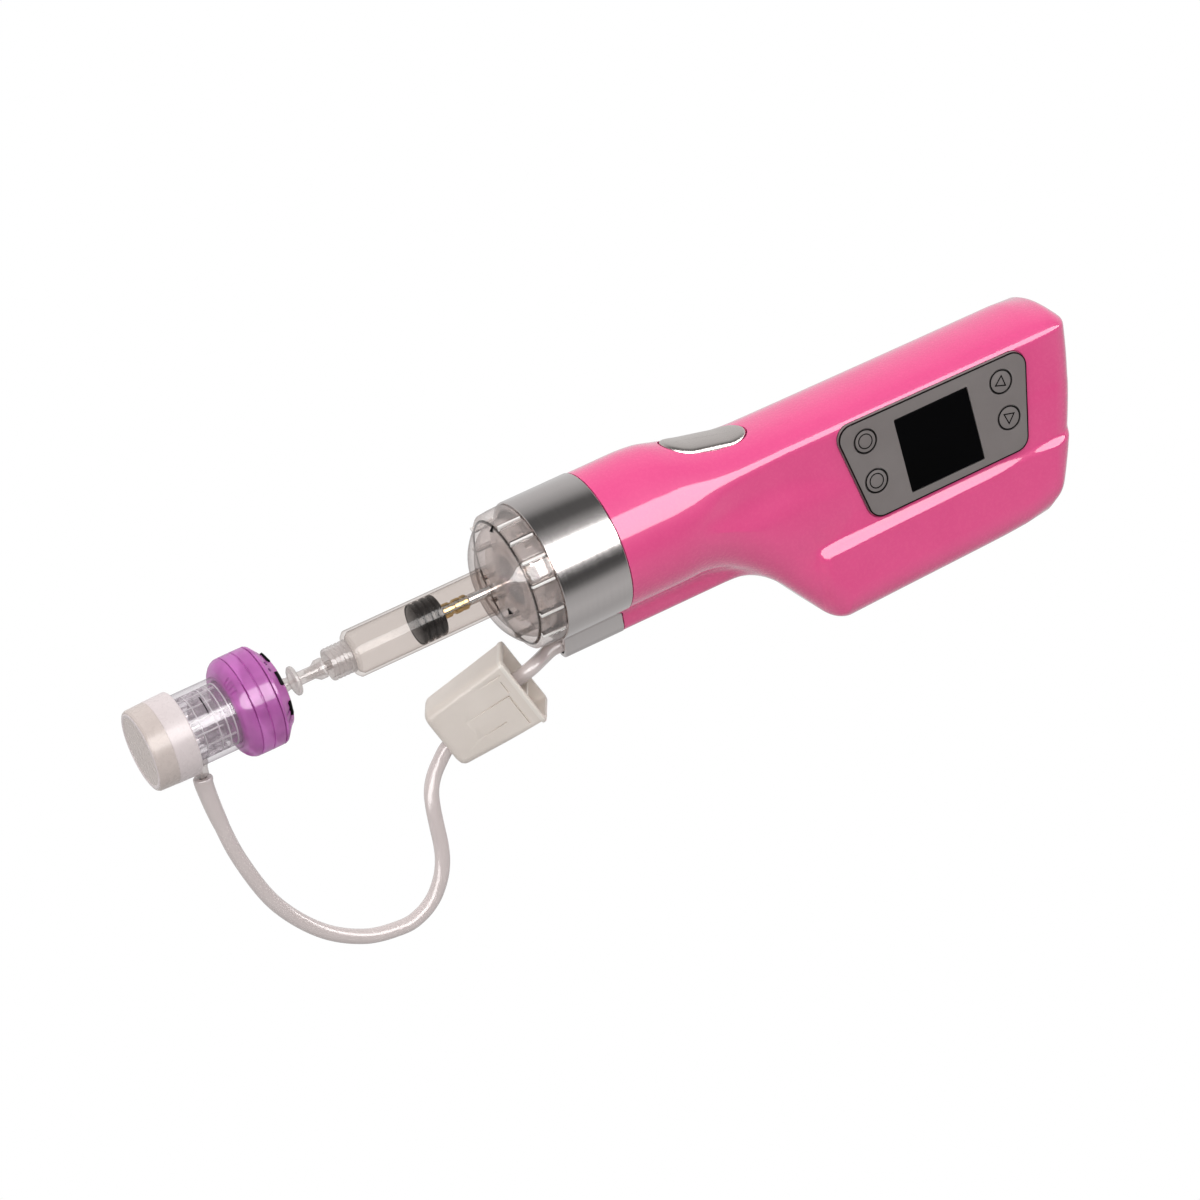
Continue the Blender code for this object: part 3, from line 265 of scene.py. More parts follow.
n = Nodes("display_glass")
n.link(n.mix_colour(n.noise(40, 1), (0.0015, 0.0015, 0.0015), (0.0025, 0.0025, 0.003)), n.shader.inputs["Base Color"])
n.set(Roughness=0.3, Specular_IOR_Level=0.03)
MAT["glass"] = n.mat


# ------------------------------------------------------------------ mesh helpers
def piece(name, mesh, mat, body, node=(), sharp=32):
    mesh.name = name
    for face in mesh.polygons:
        face.use_smooth = True
    if sharp:
        mesh.set_sharp_from_angle(angle=math.radians(sharp))
    made = bpy.data.objects.new(name, mesh)
    bpy.context.scene.collection.objects.link(made)
    mesh.materials.clear()
    mesh.materials.append(MAT[mat])
    if body:
        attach(made, body)
    if node:
        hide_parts(*((node,) if isinstance(node, str) else node))
    return made


def from_cage(cage):
    bmesh.ops.remove_doubles(cage, verts=cage.verts, dist=2e-7)
    bmesh.ops.recalc_face_normals(cage, faces=cage.faces)
    mesh = bpy.data.meshes.new("m")
    cage.to_mesh(mesh)
    cage.free()
    return mesh


def turned(profile, steps=96, at=(0, 0), wave=None, start=0.0):
    """A closed (x, radius) outline turned about the X line through `at` (y, z). wave(x, r, angle) -> radius."""
    cage = bmesh.new()
    rows = []
    for k in range(steps):
        a = start + k * TAU / steps
        rows.append([cage.verts.new(P(x, (wave(x, r, a) if wave and r > 0 else r) * math.sin(a) + at[0],
                                      (wave(x, r, a) if wave and r > 0 else r) * math.cos(a) + at[1])) for x, r in profile])
    count = len(profile)
    for k in range(steps):
        a, b = rows[k], rows[(k + 1) % steps]
        for i in range(count):
            j = (i + 1) % count
            if profile[i][1] < 1e-9 and profile[j][1] < 1e-9:
                continue
            cage.faces.new((a[i], a[j], b[j], b[i]))
    bmesh.ops.remove_doubles(cage, verts=cage.verts, dist=2e-7)
    bmesh.ops.dissolve_degenerate(cage, edges=cage.edges, dist=1e-8)
    return from_cage(cage)


def fillet(points, radius, count=4, closed=True):
    """Round every corner of an outline by up to `radius`."""
    out = []
    total = len(points)
    for i, p in enumerate(points):
        if not closed and i in (0, total - 1):
            out.append(tuple(p))
            continue
        r = radius[i] if isinstance(radius, (list, tuple)) else radius
        here = Vector(p)
        a, b = Vector(points[i - 1]) - here, Vector(points[(i + 1) % total]) - here
        if r < 1e-6 or a.length < 1e-6 or b.length < 1e-6:
            out.append(tuple(p))
            continue
        half = math.acos(max(-1, min(1, a.normalized().dot(b.normalized())))) / 2
        if half > 1.55 or half < 0.02:
            out.append(tuple(p))
            continue
        reach = min(r / math.tan(half), a.length * 0.48, b.length * 0.48)
        r = reach * math.tan(half)
        mid = here + (a.normalized() + b.normalized()).normalized() * (r / math.sin(half))
        u, v = here + a.normalized() * reach - mid, here + b.normalized() * reach - mid
        turn = math.atan2(u.x * v.y - u.y * v.x, u.dot(v))
        for k in range(count + 1):
            t = turn * k / count
            out.append((mid.x + u.x * math.cos(t) - u.y * math.sin(t), mid.y + u.x * math.sin(t) + u.y * math.cos(t)))
    return out


def smooth_path(keys, per=8):
    k = [np.array(p, float) for p in keys]
    k = [2 * k[0] - k[1]] + k + [2 * k[-1] - k[-2]]
    out = []
    for i in range(1, len(k) - 2):
        for s in range(per):
            t = s / per
            a, b, c, d = k[i - 1], k[i], k[i + 1], k[i + 2]
            out.append(0.5 * (2 * b + (c - a) * t + (2 * a - 5 * b + 4 * c - d) * t * t + (3 * b - a - 3 * c + d) * t ** 3))
    return out + [k[-2]]


def swept(path, radius, bore=0.0, sides=28, flare=None):
    """A round tube along a path; flare(i, n) scales the radius."""
    path = [np.array(p, float) for p in path]
    cage = bmesh.new()
    tangents = [path[min(i + 1, len(path) - 1)] - path[max(i - 1, 0)] for i in range(len(path))]
    tangents = [t / np.linalg.norm(t) for t in tangents]
    normal = np.cross(tangents[0], (0.0, 1.0, 0.001))
    normal /= np.linalg.norm(normal)
    outer, inner = [], []
    for i, (p, t) in enumerate(zip(path, tangents)):
        normal = normal - t * normal.dot(t)
        normal /= np.linalg.norm(normal)
        other = np.cross(t, normal)
        scale = flare(i, len(path)) if flare else 1.0
        ring = lambda r: [cage.verts.new(P(*(p + (normal * math.cos(a * TAU / sides) + other * math.sin(a * TAU / sides)) * r))) for a in range(sides)]
        if i in (0, len(path) - 1):
            pass
        outer.append(ring(radius * scale))
        if bore:
            inner.append(ring(bore))
    for rows, flip in ((outer, False), (inner, True)):
        for a, b in zip(rows, rows[1:]):
            for k in range(sides):
                j = (k + 1) % sides
                cage.faces.new((a[k], a[j], b[j], b[k]) if not flip else (a[k], b[k], b[j], a[j]))
    for end in (0, -1):
        if bore:
            for k in range(sides):
                j = (k + 1) % sides
                cage.faces.new((outer[end][k], inner[end][k], inner[end][j], outer[end][j]))
        else:
            cage.faces.new(outer[end])
    return from_cage(cage)


def prism(outline, y0, y1, edge=0.0, holes=(), segments=3, plane="XZ", front=None):
    """A flat outline given depth, its front rim rounded by `edge`.  Outline is (x, z); depth runs along Y."""
    cage = bmesh.new()
    rings = []
    for ring in (outline, *holes):
        rings.append([cage.verts.new(P(x, y0, z)) for x, z in ring])
    edges = []
    for ring in rings:
        edges += [cage.edges.new((ring[i], ring[(i + 1) % len(ring)])) for i in range(len(ring))]
    bmesh.ops.triangle_fill(cage, use_beauty=True, edges=edges)
    base = cage.faces[:]
    made = bmesh.ops.extrude_face_region(cage, geom=base)
    moved = [v for v in made["geom"] if isinstance(v, bmesh.types.BMVert)]
    bmesh.ops.translate(cage, vec=Vector((0, (y1 - y0) * MM, 0)), verts=moved)
    bmesh.ops.recalc_face_normals(cage, faces=cage.faces)
    if edge:
        rim = [e for e in cage.edges if len(e.link_faces) == 2 and e.calc_face_angle(0) > math.radians(60)
               and abs((e.verts[0].co.y - e.verts[1].co.y)) < 1e-7 and abs(e.verts[0].co.y - P(0, y0, 0).y) < 1e-6]
        bmesh.ops.bevel(cage, geom=rim, offset=edge * MM, segments=segments, affect="EDGES", profile=0.5, clamp_overlap=True)
    return from_cage(cage)


def block(low, high, edge=0.0, segments=2, matrix=None):
    cage = bmesh.new()
    bmesh.ops.create_cube(cage, size=1)
    size = [h - l for l, h in zip(low, high)]
    mid = [(h + l) / 2 for l, h in zip(low, high)]
    for v in cage.verts:
        v.co = Vector((v.co.x * size[0] + mid[0], v.co.y * size[1] + mid[1], v.co.z * size[2] + mid[2]))
    if edge:
        bmesh.ops.bevel(cage, geom=cage.edges[:], offset=edge, segments=segments, affect="EDGES", profile=0.5, clamp_overlap=True)
    for v in cage.verts:
        co = matrix @ v.co if matrix else v.co
        v.co = P(*co)
    return from_cage(cage)


def merged(*meshes):
    """Several meshes of one material in one piece; each part stays closed."""
    cage = bmesh.new()
    for mesh in meshes:
        cage.from_mesh(mesh)
        bpy.data.meshes.remove(mesh)
    mesh = bpy.data.meshes.new("m")
    cage.to_mesh(mesh)
    cage.free()
    return mesh


def boolean(mesh, tools, how="DIFFERENCE"):
    """One mesh cut by, or joined to, others with Blender's exact solver."""
    a = bpy.data.objects.new("bool_a", mesh)
    bpy.context.scene.collection.objects.link(a)
    helpers = []
    for tool in tools:
        b = bpy.data.objects.new("bool_b", tool)
        bpy.context.scene.collection.objects.link(b)
        helpers.append(b)
        step = a.modifiers.new("cut", "BOOLEAN")
        step.operation, step.solver, step.object = how, "EXACT", b
    bpy.context.view_layer.update()
    result = bpy.data.meshes.new_from_object(a.evaluated_get(bpy.context.evaluated_depsgraph_get()))
    for o in [a] + helpers:
        bpy.data.objects.remove(o, do_unlink=True)
    return result


# ------------------------------------------------------------------ the grip's skin, as in the CAD source
COLLAR_R, COLLAR_LEN = 21.36, 21.1
BARREL_R, WALL, SEAM_Y, FIT, BODY_FRONT = 21.1, 2.0, 12.5, 0.3, 21.4
KEEL_Z, KEEL_R = -24.3, 4.3
TOP_LINE = [(20, 21.1), (35, 21.1), (42, 20.6), (49, 18.7), (55, 16.8), (61, 15.1), (68, 13.9), (76, 13.3), (100, 13.0), (130, 12.7), (180, 12.4)]
HALF_LINE = [(20, 21.1), (38, 21.1), (48, 20.0), (58, 17.6), (68, 16.1), (78, 15.6), (90, 15.5), (180, 15.4)]
CROWN_LINE = [(20, 0.0), (34, 0.2), (45, 1.6), (58, 4.2), (70, 5.8), (80, 6.2), (180, 6.2)]
REAR_MID, REAR_TILT = (170.7, -18.0), math.radians(15.2)
FLOOR_Z, FOOT_X = -50.4, 82.3
SHOULDER_R = [(20, 21.1), (34, 22.0), (42, 26.0), (50, 18.5), (56, 12.0), (63, 8.0), (180, 8.0)]
SHOULDER_Y = [(20, 18.63), (36, 18.6), (42, 18.2), (50, 17.1), (60, 15.9), (70, 15.15), (80, 14.85), (180, 14.75)]
SHOULDER_Z = [(20, 9.9), (36, 9.95), (42, 10.4), (50, 10.6), (60, 10.0), (70, 9.5), (80, 9.3), (180, 9.1)]
SHELF_HIGH = [(78, 4.4), (100, 4.0), (140, 3.3), (180, 3.2)]
SHELF_DEEP = [(78, 0.0), (82, 2.1), (100, 1.85), (138, 1.4), (151, 0.7), (157, 0.7), (160.5, 1.35), (180, 1.4)]


def along(x, keys):
    xs, vs = np.array(keys, float).T
    h, d = np.diff(xs), np.diff(vs) / np.diff(xs)
    m = np.zeros(len(xs))
    same = d[:-1] * d[1:] > 0
    m[1:-1][same] = 2 * d[:-1][same] * d[1:][same] / (d[:-1][same] + d[1:][same])
    x = np.clip(x, xs[0], xs[-1])
    i = np.clip(np.searchsorted(xs, x) - 1, 0, len(h) - 1)
    t = (x - xs[i]) / h[i]
    return ((2 * t ** 3 - 3 * t ** 2 + 1) * vs[i] + (t ** 3 - 2 * t ** 2 + t) * h[i] * m[i]
            + (-2 * t ** 3 + 3 * t ** 2) * vs[i + 1] + (t ** 3 - t ** 2) * h[i] * m[i + 1])


def soft_join(a, b, k):
    h = np.clip(0.5 + 0.5 * (b - a) / k, 0, 1)
    return b * (1 - h) + a * h - k * h * (1 - h)


def corner(a, b, r):
    u, v = a + r, b + r
    return np.minimum(np.maximum(u, v), 0) + np.sqrt(np.maximum(u, 0) ** 2 + np.maximum(v, 0) ** 2) - r


def oval(y, z, a, b):
    rho = np.sqrt((y / a) ** 2 + (z / b) ** 2) + 1e-9
    return (rho - 1) * rho / (np.sqrt((y / a ** 2) ** 2 + (z / b ** 2) ** 2) + 1e-9)


def rear_face(x, z):
    u, w = x - REAR_MID[0], z - REAR_MID[1]
    t = u * math.sin(REAR_TILT) + w * math.cos(REAR_TILT)
    return u * math.cos(REAR_TILT) - w * math.sin(REAR_TILT) + t * t / 330.0


def skin(x, y, z):
    top, half, crown = along(x, TOP_LINE), along(x, HALF_LINE), along(x, CROWN_LINE)
    low = -14.0 * np.clip((x - 45) / 35, 0, 1) ** 2 * (3 - 2 * np.clip((x - 45) / 35, 0, 1))
    side = np.abs(y) - half
    beam = np.where(z > crown, oval(y, z - crown, half, top - crown),
                    np.where(z < low, oval(y, z - low, half, BARREL_R + low * 0.2), side))
    # a softly chamfered shoulder that grows out of the round barrel
    r = along(x, SHOULDER_R)
    shoulder = corner(np.abs(y) - along(x, SHOULDER_Y) + 0.883 * r - r, z - along(x, SHOULDER_Z) + 0.469 * r - r, r)
    shoulder = shoulder - 2.0 * (1 - np.clip((x - 36) / 10, 0, 1)) ** 2
    beam = -soft_join(-beam, -shoulder, 1.0)
    keel = np.sqrt(y ** 2 + (z - KEEL_Z) ** 2) - KEEL_R
    beam = soft_join(beam, keel, 5.0)
    front = (x - FOOT_X) * -0.80 + (z - FLOOR_Z) * -0.60
    floor = (x - 92.0) * 0.0254 - (z - FLOOR_Z)
    side_view = corner(front, floor, 3.5)
    side_view = corner(side_view, z + 2.0, 3.0)
    # a step just below the keypad, from where the block is a little wider
    shelf = np.clip((-23.8 - z) / along(x, SHELF_HIGH), 0, 1)
    belly = along(x, SHELF_DEEP) * shelf ** 2 * (3 - 2 * shelf)
    block = corner(side_view, np.abs(y) - along(x, HALF_LINE) - belly, 9.5)
    k = 5.5 - 5.0 * np.clip((x - 76) / 18, 0, 1)
    return corner(soft_join(beam, block, k), rear_face(x, z), 8.0)


def loft(offset, stations, around, front=BODY_FRONT):
    end = REAR_MID[0]
    spans = list(np.linspace(front, 48, max(3, stations // 6))) + list(np.linspace(48, 98, max(6, stations // 2)))[1:]
    spans += list(np.linspace(98, 155, max(3, stations // 6)))[1:]
    last = [end - offset - 8.0 + 8.0 * math.sin(a) for a in np.linspace(0.0, math.pi / 2, max(4, stations // 6))]
    spans = [s for s in spans if s < last[0] - 1.5] + last[:-1] + [last[-1] - 0.02]
    cage = bmesh.new()
    rows = []
    grid = np.arange(3600) * TAU / 3600
    away = np.degrees(np.minimum(grid, TAU - grid))
    weight = 1 + 3.5 * ((away > 41) & (away < 57)) + 4.5 * ((away > 97) & (away < 109))
    t = np.interp(np.arange(around) / around, (np.cumsum(weight) - weight) / weight.sum(), grid)
    for s in spans:
        tilt = REAR_TILT * min(1, max(0, (s - 98) / 55)) ** 1.5
        zc = -18.0 * min(1, max(0, (s - 46) / 40))
        low = -26 - 26 * min(1, max(0, (s - 55) / 35))
        high = along(np.array([s]), TOP_LINE)[0]
        wide = along(np.array([s]), HALF_LINE)[0]
        dy, dw = wide * np.sin(t), (high - low) / 2 * np.cos(t)
        size = np.hypot(dy, dw)
        dy, dw = dy / size, dw / size
        near, far = np.zeros(around), np.full(around, 60.0)
        for _ in range(40):
            mid = (near + far) / 2
            inside = skin(s + dw * mid * math.sin(tilt), dy * mid, zc + dw * mid * math.cos(tilt)) + offset < 0
            near, far = np.where(inside, mid, near), np.where(inside, far, mid)
        rows.append([cage.verts.new(P(s + dw[i] * near[i] * math.sin(tilt), dy[i] * near[i], zc + dw[i] * near[i] * math.cos(tilt))) for i in range(around)])
    for a, b in zip(rows, rows[1:]):
        for i in range(around):
            j = (i + 1) % around
            cage.faces.new((a[i], a[j], b[j], b[i]))
    cage.faces.new(rows[0][::-1])
    last = rows[-1]
    middle = sum((v.co for v in last), Vector()) / around
    for share in (0.75, 0.5, 0.25):
        ring = [cage.verts.new(middle + (v.co - middle) * share) for v in rows[-1]]
        for i in range(around):
            j = (i + 1) % around
            cage.faces.new((last[i], last[j], ring[j], ring[i]))
        last = ring
    tip = cage.verts.new(middle)
    for i in range(around):
        cage.faces.new((last[i], last[(i + 1) % around], tip))
    return from_cage(cage)


def top_of(x, y):
    """Height of the grip's upper skin over a point."""
    low, high = np.full(np.shape(x), -5.0), np.full(np.shape(x), 40.0)
    for _ in range(40):
        mid = (low + high) / 2
        inside = skin(x, y, mid) < 0
        low, high = np.where(inside, mid, low), np.where(inside, high, mid)
    return low


def lid(outline, levels, matrix=None):
    """A plate from stacked rings: levels are (inset, height) from one cap to the other, in the plate's own XY plane."""
    cage = bmesh.new()
    count = len(outline)
    pts = [Vector(p) for p in outline]
    area = sum(a.x * b.y - b.x * a.y for a, b in zip(pts, pts[1:] + pts[:1]))
    if area < 0:
        pts.reverse()
    inward = []
    for i in range(count):
        a, b = (pts[i] - pts[i - 1]).normalized(), (pts[(i + 1) % count] - pts[i]).normalized()
        na, nb = Vector((-a.y, a.x)), Vector((-b.y, b.x))
        m = (na + nb).normalized()
        inward.append(m / max(0.5, m.dot(na)))
    rows = []
    for inset, height in levels:
        rows.append([cage.verts.new(P(*((matrix or Matrix()) @ Vector((p.x + d.x * inset, p.y + d.y * inset, height))))) for p, d in zip(pts, inward)])
    for a, b in zip(rows, rows[1:]):
        for i in range(count):
            j = (i + 1) % count
            cage.faces.new((a[i], a[j], b[j], b[i]))
    cage.faces.new(rows[0][::-1])
    cage.faces.new(rows[-1])
    return from_cage(cage)


def ringed(outer, inner, z0, z1, edge, matrix=None):
    """A flat ring between two outlines with equal point counts."""
    cage = bmesh.new()
    levels = [(outer, z0), (outer, z1 - edge), (None, z1), (inner, z1), (inner, z0)]
    rows = []
    for ring, h in levels:
        if ring is None:
            ring = [(a[0] + (b[0] - a[0]) * 0.18, a[1] + (b[1] - a[1]) * 0.18) for a, b in zip(outer, inner)]
        rows.append([cage.verts.new(P(*((matrix or Matrix()) @ Vector((x, y, h))))) for x, y in ring])
    n_ = len(outer)
    for k in range(len(rows)):
        a, b = rows[k], rows[(k + 1) % len(rows)]
        for i in range(n_):
            j = (i + 1) % n_
            cage.faces.new((a[i], a[j], b[j], b[i]))
    return from_cage(cage)


def circle(cx, cy, r, count=48):
    return [(cx + r * math.cos(k * TAU / count), cy + r * math.sin(k * TAU / count)) for k in range(count)]


def stadium(length, width, count=20):
    r, h = width / 2, (length - width) / 2
    out = []
    for k in range(count + 1):
        a = -math.pi / 2 + math.pi * k / count
        out.append((h + r * math.cos(a), r * math.sin(a)))
    for k in range(count + 1):
        a = math.pi / 2 + math.pi * k / count
        out.append((-h + r * math.cos(a), r * math.sin(a)))
    return out


FRONT = Matrix(((1, 0, 0, 0), (0, 0, -1, 0), (0, 1, 0, 0), (0, 0, 0, 1)))    # plate X, Y -> x, z; its height -> toward -y


def bar_at(angle, low, high, edge):
    """A block laid along the axis and turned about it; y is its width, z its radius."""
    return block(low, high, edge, 2, Matrix.Rotation(-angle, 4, "X"))


def true_normals(mesh, reach=0.05):
    """Shading normals taken from the skin itself, so that reflections run clean across cuts."""
    count = len(mesh.vertices)
    co = np.empty(count * 3)
    mesh.vertices.foreach_get("co", co)
    co = (co.reshape(-1, 3) - np.array(ORIGIN)) / MM
    e = 0.02
    x, y, z = co.T
    value = skin(x, y, z)
    grad = np.stack([skin(x + e, y, z) - skin(x - e, y, z), skin(x, y + e, z) - skin(x, y - e, z), skin(x, y, z + e) - skin(x, y, z - e)], 1)
    grad /= np.linalg.norm(grad, axis=1)[:, None] + 1e-12
    loops = np.empty(len(mesh.loops), int)
    mesh.loops.foreach_get("vertex_index", loops)
    starts = np.empty(len(mesh.polygons), int)
    totals = np.empty(len(mesh.polygons), int)
    flat = np.empty(len(mesh.polygons) * 3)
    mesh.polygons.foreach_get("loop_start", starts)
    mesh.polygons.foreach_get("loop_total", totals)
    mesh.polygons.foreach_get("normal", flat)
    owner = np.repeat(np.arange(len(totals)), totals)
    flat = flat.reshape(-1, 3)[owner]
    near = (np.abs(value[loops]) < reach) & ((flat * grad[loops]).sum(1) > 0.75)
    normals = np.where(near[:, None], grad[loops], flat)
    mesh.normals_split_custom_set([tuple(v) for v in normals])


# ------------------------------------------------------------------ grip shells
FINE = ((132, 196))
PANEL_HOLE = fillet([(93.2, 8.0), (159.0, 7.3), (152.2, -23.2), (98.8, -23.6)], 4.9, 12)
TRIG = Matrix.Translation((61.0, 0, 15.3)) @ Matrix.Rotation(math.radians(14.5), 4, "Y")
POSTS = [(161.2, -6.0), (152.4, -40.0), (91.5, -42.0), (88.2, 3.2)]
inner = loft(WALL, 40, 64, front=BODY_FRONT - 6)
hole_panel = lid(PANEL_HOLE, [(0.45, 5.0), (0.45, 14.6), (0.0, 15.05), (-0.3, 15.7), (-0.3, 22.0)], FRONT)
hole_trigger = lid(stadium(26.9, 15.3), [(0, -12.0), (0, 12.0)], TRIG)
hole_socket = lid(fillet([(-4.9, -2.3), (4.9, -2.3), (4.9, 2.3), (-4.9, 2.3)], 1.6, 6), [(0, 162.2), (0, 182.0)],
                  Matrix(((0, 0, 1, 0), (1, 0, 0, 0), (0, 1, 0, -22.0), (0, 0, 0, 1))))
far_side = block((0, SEAM_Y, -80), (200, 60, 60))
near_side = block((0, -60, -80), (200, SEAM_Y + FIT, 60))
hose_way = swept([(x, 0, -24.7) for x in np.linspace(12, 30, 4)], 2.25, sides=24)
left = boolean(loft(0.0, *FINE), [inner.copy(), hole_panel, hole_trigger, hole_socket, hose_way, far_side])
sinks = []
for px, pz in POSTS:
    spot = Matrix(((1, 0, 0, px), (0, 0, 1, 0), (0, 1, 0, pz), (0, 0, 0, 1)))
    sinks.append(turned([(11.0, 0), (11.0, 1.35), (14.8, 1.35), (14.8, 2.45), (30.0, 2.45), (30.0, 0)], 28))
    for v in sinks[-1].vertices:
        x, y, z = (v.co - ORIGIN) / MM
        v.co = P(px + z, x, pz + y)
    sinks[-1].flip_normals() if False else None
right = boolean(loft(0.0, *FINE), [inner, near_side] + sinks)
for name, mesh, nodes in (("grip_shell_near", left, "body_shell_left"), ("grip_shell_far", right, "body_shell_right")):
    made = piece(name, mesh, "pink", "housing", nodes, sharp=None)
    true_normals(mesh)

for k, (px, pz) in enumerate(POSTS):
    head = turned([(14.95, 0), (14.95, 1.9), (15.2, 2.05), (15.9, 2.05), (16.15, 1.75), (16.2, 1.4), (16.2, 0)], 36)
    for v in head.vertices:
        x, y, z = (v.co - ORIGIN) / MM
        v.co = P(px + z, x, pz + y)
    cross = [block((px - 1.25, 15.7, pz - 0.22), (px + 1.25, 17, pz + 0.22), 0), block((px - 0.22, 15.7, pz - 1.25), (px + 0.22, 17, pz + 1.25), 0)]
    piece(f"cover_screw_{k + 1}", boolean(head, cross), "steel", "housing", f"case_screw_{k + 1}")

# ------------------------------------------------------------------ trigger: a stadium that follows the grip's top
rings = []
for inset in (0.0, 0.12, 0.35, 0.7, 1.2, 2.0, 3.2, 4.6, 6.0, 7.0):
    rings.append(stadium(26.0 - 2 * inset, 14.4 - 2 * inset))
cage = bmesh.new()
rows = []


def trigger_height(points, inset):
    world = [TRIG @ Vector((x, y, 0)) for x, y in points]
    tops = top_of(np.array([w.x for w in world]), np.array([w.y for w in world]))
    drop = 0.75 * (1 - math.sqrt(max(0.0, 1 - (1 - min(inset, 1.2) / 1.2) ** 2)))
    return [(t - w.z) / math.cos(math.radians(14.5)) + 0.55 + 0.35 * (1 - math.exp(-inset / 3.0)) - drop for t, w in zip(tops, world)]


rows.append([cage.verts.new(P(*(TRIG @ Vector((x, y, -5.2))))) for x, y in stadium(26.0, 14.4)])
for inset, ring in zip((0.0, 0.12, 0.35, 0.7, 1.2, 2.0, 3.2, 4.6, 6.0, 7.0), rings):
    rows.append([cage.verts.new(P(*(TRIG @ Vector((x, y, h))))) for (x, y), h in zip(ring, trigger_height(ring, inset))])
for a, b in zip(rows, rows[1:]):
    for i in range(len(a)):
        j = (i + 1) % len(a)
        cage.faces.new((a[i], a[j], b[j], b[i]))
cage.faces.new(rows[0][::-1])
cage.faces.new(rows[-1])
piece("trigger_cap", from_cage(cage), "trigger", "trigger", "trigger_button", sharp=50)

# ------------------------------------------------------------------ collar and its tube channel
collar_profile = fillet([(0.0, 19.3), (0.0, COLLAR_R), (COLLAR_LEN, COLLAR_R), (COLLAR_LEN, 19.3)], [0.1, 0.4, 0.35, 0.1], 4)
collar = turned(collar_profile, 224)
relief = turned([(-3, 0), (-3, 2.75), (30, 2.75), (30, 0)], 40, (0, -24.8))
skirt = []
for k in range(25):
    a = math.radians(196 + 148 * k / 24)
    skirt.append((4.0 * math.cos(a), -24.8 + 4.0 * math.sin(a)))
skirt = [(-8.6, -19.45), (-4.6, -21.9)] + skirt + [(4.6, -21.9), (8.6, -19.45)]
ALONG = Matrix(((0, 0, 1, 0), (1, 0, 0, 0), (0, 1, 0, 0), (0, 0, 0, 1)))     # plate X, Y -> y, z; its height -> x
channel = lid(skirt, [(0.35, 2.2), (0.1, 2.35), (0.0, 2.6), (0.0, COLLAR_LEN)], ALONG)
bore = turned([(-3, 0), (-3, 2.7), (30, 2.7), (30, 0)], 48, (0, -24.8))
piece("collar_sleeve", boolean(collar, [relief]), "collar", "housing", "collar_ring")
piece("tube_channel", boolean(channel, [bore]), "collar", "housing", "tube_port_channel")

# ------------------------------------------------------------------ nose cap
BARS = [math.radians(v) for v in (-17.5, -37.5, -56.5, -76.5, -102, -125.5)]
BARS += [a + math.pi for a in BARS]
dome_outer = smooth_path([(-14.2, 9.0), (-13.75, 11.2), (-12.4, 14.0), (-9.9, 17.1), (-7.5, 19.0)], 5)
dome_inner = smooth_path([(-6.2, 17.3), (-9.0, 15.4), (-11.2, 12.6), (-12.6, 9.6)], 4)
cap_profile = ([(-14.2, 7.4), (-14.2, 8.9)] + [tuple(p) for p in dome_outer]
               + [(-7.35, 19.75), (-7.0, 20.15), (-4.0, 20.45), (-0.75, 20.55), (-0.3, 20.4), (-0.3, 18.9), (5.2, 18.9), (5.2, 17.3)]
               + [tuple(p) for p in dome_inner] + [(-12.6, 7.4)])


def plates(x, r, a):
    if r < 19.4 or x < -7.4:
        return r
    near = min(abs((a - b + math.pi) % TAU - math.pi) for b in BARS)
    return r + (0.35 if near > math.radians(2.0) else -0.35)


piece("nose_dome", turned(cap_profile, 432, wave=plates), "dome", "bayonet_cap", "nose_cap", sharp=28)
bars, shades = [], []
for a in BARS:
    bars.append(bar_at(a, (-7.75, -0.36, 19.3), (-0.5, 0.36, 20.95), 0.14))
    # beside each rib, a lower dark copy turned a little aside: painted shade along the rib's foot
    shades.append(bar_at(a + 0.030, (-7.5, -0.34, 19.3), (-0.45, 0.34, 20.45), 0.05))
piece("nose_dome_ribs", merged(*bars), "barwhite", "bayonet_cap", ())
piece("nose_dome_rib_shade_lines", merged(*shades), "painted_shade_dark", "bayonet_cap", ())
# a dark ring in the crease where the dome steps up to its band: painted shade
rim = turned(fillet([(-8.05, 18.3), (-7.85, 18.85), (-7.45, 19.2), (-7.45, 18.5)], 0.05, 1), 216)
piece("nose_dome_ledge", rim, "painted_shade_dark", "bayonet_cap", ())
# two small moulded marks on the dome
marks = []
for x, r, a, turn in ((-8.3, 18.35, math.radians(-8), 0.3), (-13.32, 12.1, math.radians(-104), 2.0)):
    slope = math.atan2(1.0, 0.82) if x > -10 else math.atan2(2.8, 1.35)
    here = Matrix.Rotation(-a, 4, "X") @ Matrix.Translation((x, 0, r)) @ Matrix.Rotation(-slope, 4, "Y") @ Matrix.Rotation(turn, 4, "Z")
    marks.append(lid([(1.15, 0), (-0.8, 0.85), (-0.8, -0.85)], [(0, -0.25), (0, 0.12), (0.08, 0.2)], here))
piece("nose_dome_marks", merged(*marks), "ink", "bayonet_cap", (), sharp=20)


def facets(x, r, a):
    if r < 9 or x > 3:
        return r
    step = TAU / 10
    local = ((a + 0.35) % step) - step / 2
    return r * math.cos(step / 2) / math.cos(local) * 1.02 if r < 16.6 else r


seat_profile = [(-5.9, 7.4), (-6.6, 8.4), (-6.6, 9.6), (-5.9, 10.2), (-5.2, 13.0), (-4.2, 15.6), (-3.2, 16.7), (-1.0, 16.9), (22.6, 16.9), (22.6, 15.2), (-1.4, 15.2), (-3.4, 12.0), (-3.4, 7.4)]
piece("syringe_socket", turned(seat_profile, 240, wave=facets), "seat", "housing", "syringe_seat", sharp=14)

